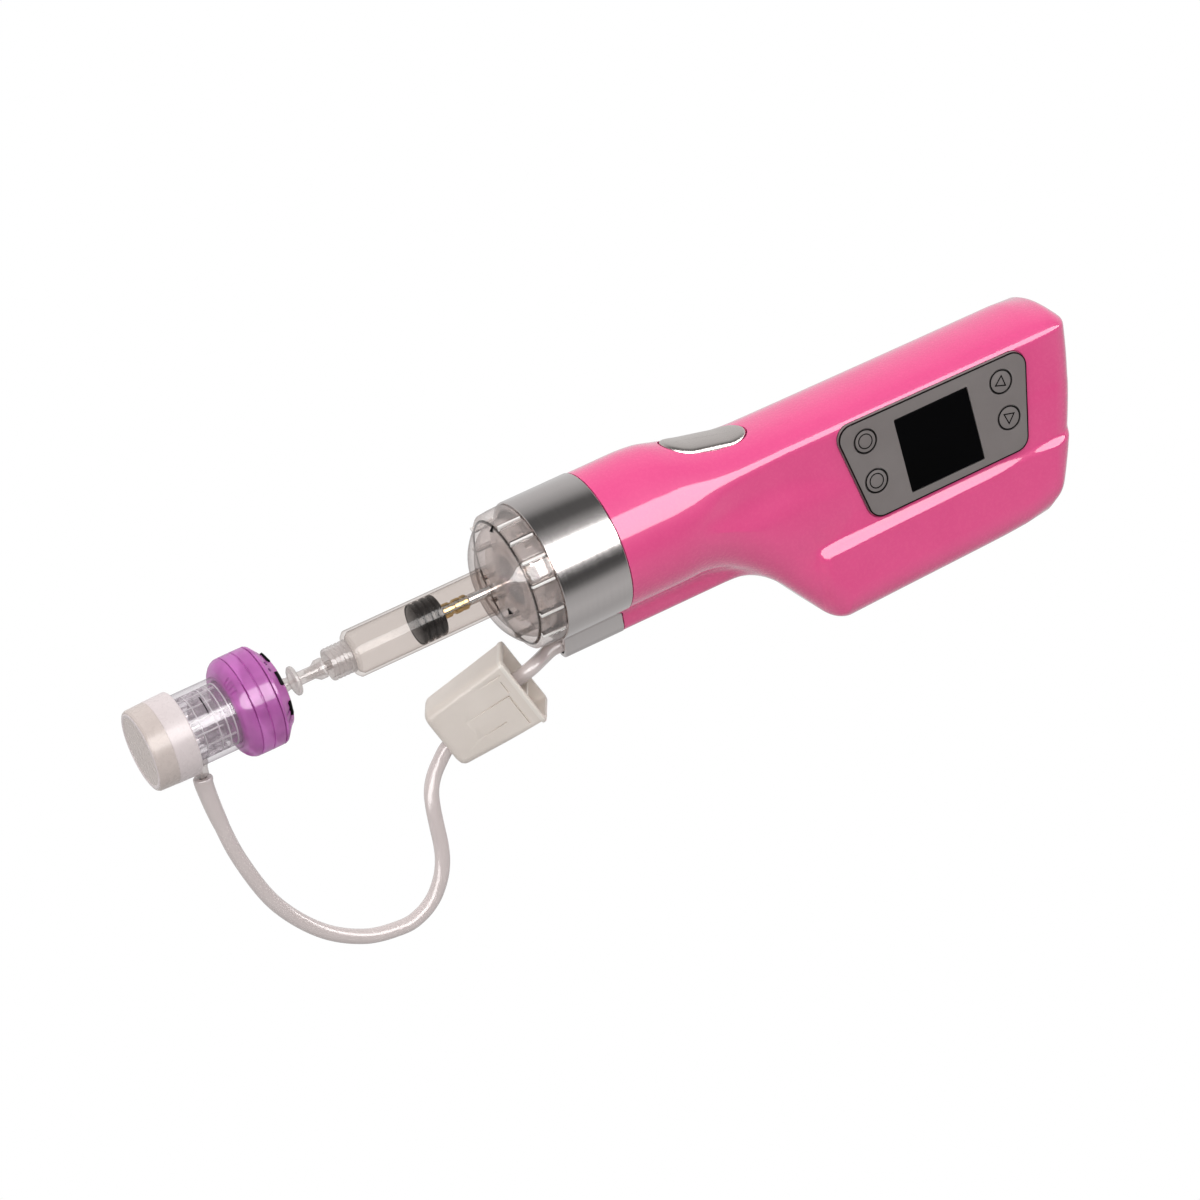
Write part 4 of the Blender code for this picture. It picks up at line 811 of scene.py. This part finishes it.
# ------------------------------------------------------------------ syringe
barrel_profile = ([(-58.2, 0.6), (-58.2, 3.2), (-57.95, 6.2)] + fillet([(-57.9, 6.5), (-57.1, 7.0), (-8.3, 7.0)], 0.3, 2, closed=False)[1:]
                  + [(-8.15, 7.15), (-8.15, 11.5), (-7.95, 11.75), (-6.6, 11.75), (-6.4, 11.5), (-6.4, 6.55), (-6.7, 6.3), (-56.0, 6.3), (-56.9, 5.6), (-57.4, 0.6)])
piece("syringe_tube", turned(barrel_profile, 128), "barrel", "housing", "syringe_barrel")
luer = [(-58.25, 0.6), (-65.8, 0.6), (-65.8, 1.25), (-59.2, 1.75), (-59.2, 3.85), (-65.0, 3.85), (-65.15, 4.2), (-65.0, 4.65)]
for k in range(5):
    x = -64.7 + k * 1.25
    luer += [(x, 4.78), (x + 0.5, 4.86), (x + 0.62, 4.5), (x + 1.05, 4.5)]
luer += [(-58.35, 4.95), (-58.25, 4.9)]
piece("syringe_luer", turned(luer, 96), "luer", "housing", ())
ribs = [(-37.7, 0), (-37.75, 3.8), (-37.5, 4.9), (-37.1, 5.8)]
for k in range(4):
    x = -37.4 + k * 2.1
    ribs += fillet([(x, 5.95), (x + 0.25, 6.14), (x + 1.0, 6.14), (x + 1.25, 5.95)], 0.25, 3, closed=False)
    if k < 3:
        ribs += [(x + 1.4, 5.1), (x + 1.55, 4.9), (x + 1.8, 4.9), (x + 1.95, 5.1)]
ribs += [(-29.6, 5.6), (-29.5, 5.0), (-29.5, 2.6), (-29.5, 0)]
piece("stopper_ribbed", turned(ribs, 96), "rubber", "pusher", "plunger_stopper")
tip = [(-29.2, 0), (-29.2, 1.75), (-29.0, 2.0), (-27.9, 2.2), (-26.2, 2.2), (-26.0, 1.75), (-25.0, 1.75), (-24.8, 2.2), (-22.9, 2.2), (-22.7, 1.95), (-22.3, 1.95), (-22.1, 2.2), (-20.9, 2.2), (-20.6, 1.9), (-20.6, 0)]
piece("rod_end_brass", turned(tip, 72), "brass", "pusher", "rod_tip")
piece("rod_polished", turned(fillet([(-20.3, 0), (-20.3, 1.6), (54.0, 1.6), (54.0, 0)], [0, 0.25, 0.25, 0], 3), 64), "chrome", "pusher", "push_rod")

# ------------------------------------------------------------------ needle head
stem = [(-95.0, 0.5), (-95.0, 1.6), (-83.6, 1.6), (-83.2, 2.0), (-81.0, 2.35), (-79.0, 2.1), (-77.6, 1.75), (-76.9, 2.0), (-76.45, 2.5), (-76.4, 3.9), (-76.15, 4.3), (-75.5, 4.38),
        (-75.1, 4.1), (-75.0, 2.5), (-74.6, 1.95), (-70.0, 1.9), (-69.4, 2.2), (-68.4, 2.95), (-66.5, 3.0), (-66.3, 2.8), (-66.3, 2.1), (-72.0, 1.4), (-72.0, 0.5)]
piece("inlet_stem", turned(stem, 72), "luer", "housing", "luer_inlet")


def notched(groups, width, count, depth, x0, x1, pitch):
    def rule(x, r, a):
        if not x0 <= x <= x1:
            return r
        for g in groups:
            for k in range(count):
                mid = g + (k - (count - 1) / 2) * pitch
                if abs((a - mid + math.pi) % TAU - math.pi) < width / 2:
                    return r - depth
        return r
    return rule


G = [math.radians(v) for v in (-38, 82, 202)]
front_hub = [(-97.05, 9.6), (-97.05, 11.3), (-96.75, 12.6), (-96.7, 12.7), (-95.9, 13.7), (-95.85, 13.75), (-95.2, 14.25), (-94.4, 14.62), (-93.6, 14.75), (-93.4, 14.6), (-93.4, 3.6), (-94.6, 3.6), (-94.6, 9.6)]
piece("hub_front_ring", turned(front_hub, 240, wave=notched(G, 0.045, 4, 0.75, -96.8, -95.8, 0.11)), "purple", "housing", "hub_front", sharp=26)
dial = fillet([(-93.1, 5.2), (-93.1, 14.75), (-86.1, 14.75), (-86.1, 5.2)], [0.1, 0.22, 0.22, 0.1], 3)
dial = dial[:10] + dial[10:]
mid_ring = [(-93.1, 5.2), (-93.1, 14.55), (-92.9, 14.75), (-90.1, 14.78), (-89.95, 14.6), (-89.85, 14.35), (-89.65, 14.35), (-89.55, 14.6), (-89.4, 14.78), (-86.3, 14.75), (-86.1, 14.55), (-86.1, 5.2)]
piece("depth_dial_ring", turned(mid_ring, 160), "purple", "depth_dial", "depth_ring", sharp=26)
G2 = [math.radians(v) for v in (-108, 12, 132)]
rear_hub = [(-85.8, 2.0), (-85.8, 14.6), (-85.6, 14.75), (-85.0, 14.5), (-84.75, 14.2), (-84.7, 14.15), (-82.75, 11.75), (-82.7, 11.7), (-82.3, 11.25), (-81.9, 10.95), (-81.6, 10.7), (-81.6, 6.0), (-82.8, 5.0), (-82.8, 2.0)]
piece("hub_rear_ring", turned(rear_hub, 240, wave=notched(G2, 0.075, 3, 0.85, -84.72, -82.72, 0.17)), "purple", "housing", "hub_rear", sharp=26)
slots, holes, clips = [], [], []
for g in G2:
    for k in (-1, 0, 1):
        here = Matrix.Rotation(-(g + k * 0.17), 4, "X") @ Matrix.Translation((-83.73, 0, 12.55)) @ Matrix.Rotation(math.atan2(2.4, 1.95), 4, "Y")
        slots.append(block((-1.3, -0.38, -0.25), (1.3, 0.38, 0.05), 0.03, 1, here))
for g in (-34, 86, 206):
    for k in (-0.09, 0.09):
        a = math.radians(g) + k
        here = Matrix.Rotation(-a, 4, "X") @ Matrix.Translation((-84.0, 0, 13.35)) @ Matrix.Rotation(math.atan2(2.4, 1.95), 4, "Y")
        holes.append(lid(circle(0, 0, 0.55, 20), [(0, -0.4), (0, 0.06), (0.06, 0.12)], here))
for g in (-10, -52, -98, 110, 170):
    here = Matrix.Rotation(-math.radians(g), 4, "X") @ Matrix.Translation((-82.3, 0, 11.35)) @ Matrix.Rotation(math.atan2(0.9, 0.5), 4, "Y")
    clips.append(block((-0.75, -2.1, -0.5), (0.75, 2.1, 0.42), 0.25, 3, here))
piece("hub_rear_slots", merged(*slots), "purple_dark", "housing", ())
piece("hub_rear_vents", merged(*holes), "purple_dark", "housing", ())
piece("hub_rear_clips", merged(*clips), "ink", "housing", ())
cover = turned(fillet([(-81.55, 3.2), (-81.55, 10.2), (-81.15, 9.6), (-80.9, 5.6), (-81.1, 3.2)], 0.12, 2), 120)
piece("hub_rear_cover", cover, "luer", "housing", ())

carrier = [(-106.5, 0), (-106.5, 5.6), (-106.2, 6.0), (-103.6, 6.0), (-103.4, 5.7), (-103.4, 3.6), (-102.9, 3.2), (-100.2, 3.2), (-100.0, 4.3), (-99.5, 4.3), (-99.3, 3.2), (-91.9, 3.2), (-91.9, 4.5), (-91.4, 4.6), (-91.3, 4.4), (-91.3, 2.1), (-97.0, 2.1), (-97.0, 0)]
fins = [block((-103.3, -0.3, 3.0), (-98.2, 0.3, 5.9), 0.12, 2, Matrix.Rotation(k * TAU / 4 + 0.5, 4, "X")) for k in range(4)]
piece("needle_holder", merged(turned(carrier, 72), *fins), "holder", "needle_set", "needle_carrier")
cup = fillet([(-113.6, 8.6), (-113.6, 9.7), (-112.8, 10.75), (-95.0, 10.75), (-95.0, 9.3), (-112.4, 9.3), (-112.4, 8.6)], [0.1, 0.1, 0.3, 0.2, 0.2, 0.1, 0.1], 3)
piece("needle_cup_wall", turned(cup, 120), "clear", "housing", "needle_cup")
ribs = []
for k in range(7):
    a = -2.3 + k * 0.44 if k < 7 else 0
    ribs.append(bar_at(a, (-111.5, -0.2, 8.75), (-98.6 if k % 2 else -101.5, 0.2, 9.35), 0.08))
    ribs.append(bar_at(a + math.pi, (-111.5, -0.2, 8.75), (-99.5, 0.2, 9.35), 0.08))
for x in (-107.8, -103.2, -100.6, -98.4):
    ribs.append(turned(fillet([(x, 8.9), (x, 9.35), (x + 0.4, 9.35), (x + 0.4, 8.9)], 0.06, 1), 96))
piece("needle_cup_ribs", merged(*ribs), "ribclear", "housing", ())
sleeve = fillet([(-105.6, 6.9), (-105.6, 7.4), (-97.4, 7.4), (-97.4, 6.9)], 0.15, 2)
piece("needle_cup_sleeve", turned(sleeve, 96), "clear", "housing", ())
mark = bar_at(math.radians(-36), (-104.6, -0.18, 10.72), (-104.25, 0.18, 10.84), 0.04)
arc_mark = []
for k in range(16):
    arc_mark.append(bar_at(math.radians(-54 + k * 1.9), (-104.6, -0.2, 10.7), (-104.3, 0.2, 10.82), 0.02))
piece("needle_cup_line", merged(mark, *arc_mark), "ink", "housing", ())
NIPPLE_X = -109.4
spout = [(-9.2, 0.5), (-9.2, 2.9), (-10.9, 2.9), (-11.3, 2.6), (-12.2, 2.3), (-14.4, 2.1), (-14.6, 1.7), (-15.0, 1.0), (-17.8, 0.95), (-17.8, 0.5)]
spout = turned([(z, r) for z, r in spout][::-1], 40)
for v in spout.vertices:
    x, y, z = (v.co - ORIGIN) / MM
    v.co = P(NIPPLE_X + z, y, x)
piece("needle_cup_spout", spout, "luer", "housing", ())

guard = [(-123.8, 0), (-123.8, 10.9)] + fillet([(-123.8, 11.0), (-123.75, 11.75), (-123.1, 12.1), (-118.0, 12.28)], 0.3, 3, closed=False)[1:] + [(-118.0, 11.2), (-122.4, 10.2), (-122.4, 0)]
piece("tip_cap_shell", turned(guard, 128), "cap", "guard", "tip_cap")
skirt_band = [(-117.95, 11.1), (-117.95, 12.2), (-117.7, 12.34), (-111.3, 12.45), (-111.0, 12.2), (-111.0, 11.05)]
piece("tip_cap_band", turned(skirt_band, 128), "band", "guard", ())
lip = turned(fillet([(-123.86, 10.2), (-124.0, 10.9), (-123.9, 11.35), (-123.7, 11.4), (-123.7, 10.2)], 0.08, 2), 128)
piece("tip_cap_lip", lip, "band", "guard", ())

# ------------------------------------------------------------------ vacuum filter
MID = Vector((-24.9, 0.4, -32.6))
FA, FB = Vector((0.840, -0.408, 0.358)).normalized(), Vector((0.308, -0.185, -0.933)).normalized()
FC = FA.cross(FB).normalized()
FB = FC.cross(FA)
HOME = Matrix.Translation(MID) @ Matrix((FA, FB, FC)).transposed().to_4x4()
LEN, WIDE, THICK = 28.6, 22.6, 15.8


def filter_point(a, b, c=0.0):
    return tuple(MID + FA * a + FB * b + FC * c)


def case_half(a):
    share = (a + LEN / 2) / LEN
    return WIDE / 2 * (0.86 + 0.14 * share), THICK / 2 * (0.86 + 0.14 * share)


def case_ring(a, inset, radius, count=7):
    w, t = case_half(a)
    w, t = w - inset, t - inset
    return fillet([(-w, -t), (w, -t), (w, t), (-w, t)], radius, count)


def case_body(levels):
    """Rings (a, inset, corner radius) joined along the filter's length."""
    cage = bmesh.new()
    rows = [[cage.verts.new(P(*(HOME @ Vector((a, b, c))))) for b, c in case_ring(a, inset, radius)] for a, inset, radius in levels]
    for a, b in zip(rows, rows[1:]):
        for i in range(len(a)):
            j = (i + 1) % len(a)
            cage.faces.new((a[i], a[j], b[j], b[i]))
    cage.faces.new(rows[0][::-1])
    cage.faces.new(rows[-1])
    return from_cage(cage)


E = LEN / 2
shell = case_body([(-E, 1.9, 2.0), (-E + 0.15, 1.2, 2.4), (-E + 0.6, 0.5, 2.6), (-E + 1.4, 0.08, 2.7), (-E + 2.2, 0.0, 2.6), (0, 0.0, 2.2), (E - 3.0, 0.0, 1.8), (E - 0.5, 0.0, 1.6), (E - 0.12, 0.08, 1.5), (E, 0.3, 1.4)])
hollow = case_body([(-E + 1.6, 1.6, 1.4), (E - 4.0, 1.5, 1.2), (E + 4.0, 0.9, 1.0)])


def cutter(low, high, edge=0.1):
    return block(low, high, edge, 2, HOME)


T = -THICK / 2
cuts = [hollow,
        cutter((-6.1, -1.75, T - 2), (10.3, -1.3, T + 0.75)),             # long slit
        cutter((9.85, -1.5, T - 2), (10.3, 8.9, T + 0.75)),               # slit down by the rim
        cutter((-7.0, 4.6, T - 2), (4.9, 4.95, T + 0.75)),                # short slit
        cutter((10.6, -6.4, T - 2), (10.95, -2.2, T + 0.6)),
        cutter((-9.6, -8.45, T - 2), (11.9, -7.75, T + 0.42), 0.18),      # groove along the crease
        cutter((-0.8, 10.4, T - 2), (E + 2, 13, T + 3.2), 0.2),           # step on the lower edge
        cutter((-E - 3, -4.0, T + 4.2), (-E + 3, 3.4, T + 6.0), 0.3)]     # slot in the closed end
port = turned([(-20, 0), (-20, 2.45), (-8, 2.45), (-8, 0)], 40)
for v in port.vertices:
    x, y, z = (v.co - ORIGIN) / MM
    v.co = P(*(HOME @ Vector((x, y + 3.0, z - 3.0))))
cuts.append(port)
piece("filter_shell", boolean(shell, cuts), "beige", "housing", "filter_case", sharp=30)
lip_ring = ringed(case_ring(E - 1.4, -0.22, 1.9), case_ring(E - 1.4, 1.0, 1.2), 0.0, 1.1, 0.3, HOME @ Matrix(((0, 0, 1, E - 1.3), (1, 0, 0, 0), (0, 1, 0, 0), (0, 0, 0, 1))))
piece("filter_rim", lip_ring, "beige_light", "housing", (), sharp=30)
core_mesh = case_body([(-E + 5.0, 2.1, 1.0), (E - 6.0, 2.1, 1.0), (E - 5.4, 2.5, 1.0)])
ways = []
for a0, a1, b, c in ((-20, -E + 9.0, 3.0, -3.0), (E - 8.0, 30, -1.5, 0.0)):
    way = turned([(a0, 0), (a0, 2.5), (a1, 2.5), (a1, 0)], 36)
    for v in way.vertices:
        x, y, z = (v.co - ORIGIN) / MM
        v.co = P(*(HOME @ Vector((x, y + b, z + c))))
    ways.append(way)
web = [block((E - 6.0, 3.0, T + 2.0), (E - 1.2, 3.6, -T - 2.0), 0.15, 2, HOME), block((E - 6.0, -11.0 + 2.5, -0.3), (E - 1.6, -4.2, 0.3), 0.15, 2, HOME)]
piece("filter_insert", merged(boolean(core_mesh, ways), *web), "beige_light", "housing", "filter_core", sharp=30)
# a dark sheet just behind the slot in the closed end: painted shade in the slot's depth
slot_shade_sheet = block((-E + 2.2, -3.6, T + 4.4), (-E + 2.6, 3.0, T + 5.8), 0.1, 1, HOME)
piece("filter_end_slot_shade", slot_shade_sheet, "slit", "housing", ())

# ------------------------------------------------------------------ tubes
PORT_IN, PORT_IN_C, PORT_OUT, CHANNEL_Z = 3.0, -3.0, -1.5, -24.8
lower = [(NIPPLE_X, 0, -15.2), (NIPPLE_X - 0.2, 0, -18.5), (-108.8, 0, -29), (-106.6, 0, -43.3), (-100.9, 0, -60.4), (-90.8, 0, -74.3), (-78.9, 0, -82.4), (-67.5, 0, -84.9),
         (-61.3, 0, -84.0), (-56.1, 0, -80.9), (-52.4, 0, -76.3), (-50.2, 0.2, -71.7), (-49.0, 0.6, -66.9), (-48.3, 1.2, -61.2), (-47.5, 2.0, -55.7), (-46.2, 3.0, -51.2), (-43.9, 3.9, -47.6),
         (-40.9, 4.0, -44.2), filter_point(-E - 0.6, PORT_IN + 0.2, PORT_IN_C), filter_point(-E + 3.5, PORT_IN, PORT_IN_C)]
path = smooth_path(lower, 10)
piece("tube_lower", swept(path, 2.2, 1.3, 36, flare=lambda i, count: 1.0 + 0.30 * max(0.0, 1 - i / 22) ** 0.6 if i > 0 else 1.22), "tube", "housing", "vacuum_tube_lower", sharp=45)
upper = [filter_point(E - 7.0, PORT_OUT), filter_point(E - 2.0, PORT_OUT), filter_point(E + 3.5, PORT_OUT - 0.4), (-4.6, -2.0, -25.1), (-1.0, -0.25, CHANNEL_Z - 0.05), (1.5, 0, CHANNEL_Z), (6.5, 0, CHANNEL_Z)]
piece("tube_upper", swept(smooth_path(upper, 10), 2.2, 1.3, 36), "tube", "housing", "vacuum_tube_upper", sharp=45)

# ------------------------------------------------------------------ control panel
PANEL = fillet([(93.5, 7.7), (158.65, 7.0), (151.95, -22.9), (99.05, -23.3)], 4.6, 14)
KEYS = {"key_power": ((102.5, 0.9), "power_key"), "key_mode": ((102.8, -12.0), "mode_key"), "key_up": ((148.2, 0.0), "up_key"), "key_down": ((148.0, -11.6), "down_key")}
SCREEN = (112.8, 137.3, -20.2, 3.0)
plate = lid(PANEL, [(0.0, 14.3), (0.0, 15.85), (0.12, 16.12), (0.38, 16.27), (0.75, 16.3)], FRONT)
cuts = [lid(fillet([(112.6, 3.2), (137.5, 3.2), (137.5, -20.4), (112.6, -20.4)], 0.4, 3), [(0, 12.0), (0, 18.0)], FRONT)]
for name, ((kx, kz), body) in KEYS.items():
    cuts.append(lid(circle(kx, kz, 3.86), [(0, 12.0), (0, 18.0)], FRONT))
piece("keypad_plate", boolean(plate, cuts), "panel", "housing", "control_panel", sharp=30)


def inset(outline, by):
    pts = [Vector(p) for p in outline]
    if sum(a.x * b.y - b.x * a.y for a, b in zip(pts, pts[1:] + pts[:1])) < 0:
        pts.reverse()
    out = []
    for i, p in enumerate(pts):
        a, b = (p - pts[i - 1]).normalized(), (pts[(i + 1) % len(pts)] - p).normalized()
        m = (Vector((-a.y, a.x)) + Vector((-b.y, b.x))).normalized()
        out.append(tuple(p + m * by))
    return out


# a thin dark ring on the keypad's edge: painted shade standing for the gap between keypad and shell
piece("keypad_gap_shade", ringed(inset(PANEL, 0.04), inset(PANEL, 0.40), 15.8, 16.33, 0.05, FRONT), "ink", "housing", (), sharp=30)
piece("display_glass", lid(fillet([(SCREEN[0], SCREEN[3]), (SCREEN[1], SCREEN[3]), (SCREEN[1], SCREEN[2]), (SCREEN[0], SCREEN[2])], 0.3, 3),
                           [(0, 15.3), (0, 16.15), (0.12, 16.24)], FRONT), "glass", "housing", "display_window")
for name, ((kx, kz), body) in KEYS.items():
    piece(name + "_cap", lid(circle(kx, kz, 3.66), [(0, 15.1), (0, 16.1), (0.1, 16.24), (0.25, 16.3)], FRONT), "panel", body, name, sharp=30)
    ink = [ringed(circle(kx, kz, 3.62), circle(kx, kz, 3.26), 16.2, 16.36, 0.03, FRONT)]
    if name in ("key_power", "key_mode"):
        ink.append(ringed(circle(kx, kz, 2.34), circle(kx, kz, 2.0), 16.2, 16.36, 0.03, FRONT))
    else:
        up = 1 if name == "key_up" else -1
        tri = [(kx, kz + up * 2.15), (kx - 1.95, kz - up * 1.35), (kx + 1.95, kz - up * 1.35)]
        mid = Vector((sum(p[0] for p in tri) / 3, sum(p[1] for p in tri) / 3))
        small = [tuple(mid + (Vector(p) - mid) * 0.70) for p in tri]
        lean = math.radians(19 if up > 0 else 14)
        tri, small = [[(kx + (x - kx) * math.cos(lean) + (z - kz) * math.sin(lean), kz - (x - kx) * math.sin(lean) + (z - kz) * math.cos(lean)) for x, z in ring] for ring in (tri, small)]
        ink.append(ringed(tri, small, 16.2, 16.36, 0.02, FRONT))
    piece(name + "_symbol", merged(*ink), "ink", body, (), sharp=30)

# ------------------------------------------------------------------ charge socket face
face = lid(fillet([(-4.5, -1.9), (4.5, -1.9), (4.5, 1.9), (-4.5, 1.9)], 1.4, 6), [(0, 161.0), (0, 169.3), (0.2, 169.5)],
           Matrix(((0, 0, 1, 0), (1, 0, 0, 0), (0, 1, 0, -22.0), (0, 0, 0, 1))))
mouth = lid(fillet([(-3.7, -1.2), (3.7, -1.2), (3.7, 1.2), (-3.7, 1.2)], 1.0, 6), [(0, 164.2), (0, 177.0)],
            Matrix(((0, 0, 1, 0), (1, 0, 0, 0), (0, 1, 0, -22.0), (0, 0, 0, 1))))
piece("charge_port", boolean(face, [mouth]), "steel", "housing", "charge_socket")
piece("charge_port_tongue", block((164.0, -2.6, -22.3), (168.5, 2.6, -21.7), 0.1), "black", "housing", ())

# ------------------------------------------------------------------ finishes of the pieces inside
INSIDE = {"battery_cell": "wrap", "carriage": "black", "display_module": "board", "drive_frame": "steel", "drive_motor": "steel", "drive_nut": "brass", "front_bushing": "brass",
          "guide_rod": "chrome", "inner_hose": "tube", "lead_screw": "steel", "main_pcb": "board", "motor_pinion": "brass", "needle_1": "chrome", "needle_2": "chrome", "needle_3": "chrome",
          "needle_4": "chrome", "needle_5": "chrome", "pump_eccentric": "brass", "pump_head": "black", "pump_motor": "steel", "rear_bearing": "steel", "screw_gear": "nylon",
          "travel_sensor": "black", "trigger_switch": "black", "vacuum_nipple": "steel"}
for name, finish in INSIDE.items():
    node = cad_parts[name]
    node.data.materials.clear()
    node.data.materials.append(MAT[finish])

# the trigger's spring stands on the grip's post and is pressed together by the button
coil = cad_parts["trigger_spring"].data.copy()
coil.transform(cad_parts["trigger_spring"].matrix_world)
coil = piece("trigger_coil", coil, "steel", None, "trigger_spring")
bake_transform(coil)

# ------------------------------------------------------------------ floor, light, camera
floor_mesh = bpy.data.meshes.new("floor")
cage = bmesh.new()
bmesh.ops.create_grid(cage, x_segments=4, y_segments=4, size=4.0)
for v in cage.verts:
    v.co.z = -0.16
cage.to_mesh(floor_mesh)
cage.free()
floor = bpy.data.objects.new("floor", floor_mesh)
bpy.context.scene.collection.objects.link(floor)
fn = Nodes("floor_pale")
fn.link(fn.mix_colour(fn.noise(3, 2), (0.44, 0.44, 0.44), (0.46, 0.46, 0.46)), fn.shader.inputs["Base Color"])
fn.set(Roughness=0.9, Specular_IOR_Level=0.1)
# the floor is burnt out to white for the camera, and throws a softer light back
glow, pick, seen = fn.add("ShaderNodeEmission"), fn.add("ShaderNodeMixShader"), fn.add("ShaderNodeLightPath")
glow.inputs["Color"].default_value = (1, 1, 1, 1)
fn.link(seen.outputs["Is Camera Ray"], pick.inputs[0])
fn.link(fn.shader.outputs[0], pick.inputs[1])
fn.link(glow.outputs[0], pick.inputs[2])
fn.link(pick.outputs[0], fn.out.inputs["Surface"])
floor_mesh.materials.append(fn.mat)
floor.visible_glossy = False

world = bpy.data.worlds.new("studio")
bpy.context.scene.world = world
world.use_nodes = True
tree = world.node_tree
tree.nodes.clear()


def wnode(kind, **values):
    node = tree.nodes.new(kind)
    for key, value in values.items():
        setattr(node, key, value)
    return node


out = wnode("ShaderNodeOutputWorld")
flat_bg, studio_bg = wnode("ShaderNodeBackground"), wnode("ShaderNodeBackground")
flat_bg.inputs["Color"].default_value = (1, 1, 1, 1)
flat_bg.inputs["Strength"].default_value = 0.82
mix = wnode("ShaderNodeMixShader")
rays = wnode("ShaderNodeLightPath")
place = wnode("ShaderNodeTexCoord")
split = wnode("ShaderNodeSeparateXYZ")
angle = wnode("ShaderNodeMath", operation="ARCTAN2")
scale = wnode("ShaderNodeMath", operation="MULTIPLY_ADD")
scale.inputs[1].default_value = 1 / TAU
scale.inputs[2].default_value = 0.5
ramp = wnode("ShaderNodeValToRGB")
tree.links.new(place.outputs["Generated"], split.inputs[0])
tree.links.new(split.outputs["Y"], angle.inputs[0])
tree.links.new(split.outputs["Z"], angle.inputs[1])
tree.links.new(angle.outputs[0], scale.inputs[0])
tree.links.new(scale.outputs[0], ramp.inputs["Fac"])
# brightness round the object's long axis, in degrees from straight up, minus toward the viewer
BANDS = [(-180, 0.50), (-150, 0.62), (-126, 0.50), (-112, 0.12), (-98, 0.06), (-86, 0.30), (-80, 0.60), (-78.5, 8.0), (-43.0, 8.0), (-41.5, 0.85), (-28, 0.45),
         (-10, 0.11), (10, 0.10), (28, 0.42), (50, 0.62), (90, 0.75), (140, 0.6), (180, 0.50)]
TOP = 8.0
ramp.color_ramp.interpolation = "LINEAR"
while len(ramp.color_ramp.elements) > 1:
    ramp.color_ramp.elements.remove(ramp.color_ramp.elements[-1])
for k, (deg, value) in enumerate(BANDS):
    pos = deg / 360 + 0.5
    stop = ramp.color_ramp.elements[0] if k == 0 else ramp.color_ramp.elements.new(pos)
    stop.position = pos
    stop.color = (value / TOP, value / TOP, value / TOP, 1)
tree.links.new(ramp.outputs["Color"], studio_bg.inputs["Color"])
studio_bg.inputs["Strength"].default_value = TOP
tree.links.new(rays.outputs["Is Glossy Ray"], mix.inputs[0])
tree.links.new(flat_bg.outputs[0], mix.inputs[1])
tree.links.new(studio_bg.outputs[0], mix.inputs[2])
tree.links.new(mix.outputs[0], out.inputs["Surface"])


def lamp(name, where, aim, size, power, size_y=None):
    data = bpy.data.lights.new(name, "AREA")
    data.shape = "RECTANGLE" if size_y else "SQUARE"
    data.size = size
    if size_y:
        data.size_y = size_y
    data.energy = power
    made = bpy.data.objects.new(name, data)
    made.location = where
    made.rotation_euler = (Vector(aim) - Vector(where)).to_track_quat("-Z", "Y").to_euler()
    bpy.context.scene.collection.objects.link(made)
    made.visible_camera = False
    made.visible_glossy = False
    return made


lamp("key", (-0.5, -1.2, 1.4), (0, 0, 0), 1.2, 9.0)
lamp("overhead", (0.1, 0.2, 1.6), (0, 0, 0), 1.6, 5.0)

az, el, roll = math.radians(19.99), math.radians(25.0), math.radians(-16.24)
n_ = Vector((-math.sin(az) * math.cos(el), -math.cos(az) * math.cos(el), math.sin(el)))
r0 = Vector((0, 0, 1)).cross(n_).normalized()
u0 = n_.cross(r0)
r_ = r0 * math.cos(roll) + u0 * math.sin(roll)
u_ = u0 * math.cos(roll) - r0 * math.sin(roll)
camera_data = bpy.data.cameras.new("photo_view")
camera_data.lens = 168.9
camera_data.sensor_width = 36
camera_data.clip_start, camera_data.clip_end = 0.05, 30
camera = bpy.data.objects.new("photo_view", camera_data)
bpy.context.scene.collection.objects.link(camera)
spot = P(17.7, 0, -17.3) + n_ * 1.6
camera.matrix_world = Matrix(((r_.x, u_.x, n_.x, spot.x), (r_.y, u_.y, n_.y, spot.y), (r_.z, u_.z, n_.z, spot.z), (0, 0, 0, 1)))
bpy.context.scene.camera = camera
bpy.context.scene.view_settings.view_transform = "Standard"
bpy.context.scene.cycles.transparent_max_bounces = 48
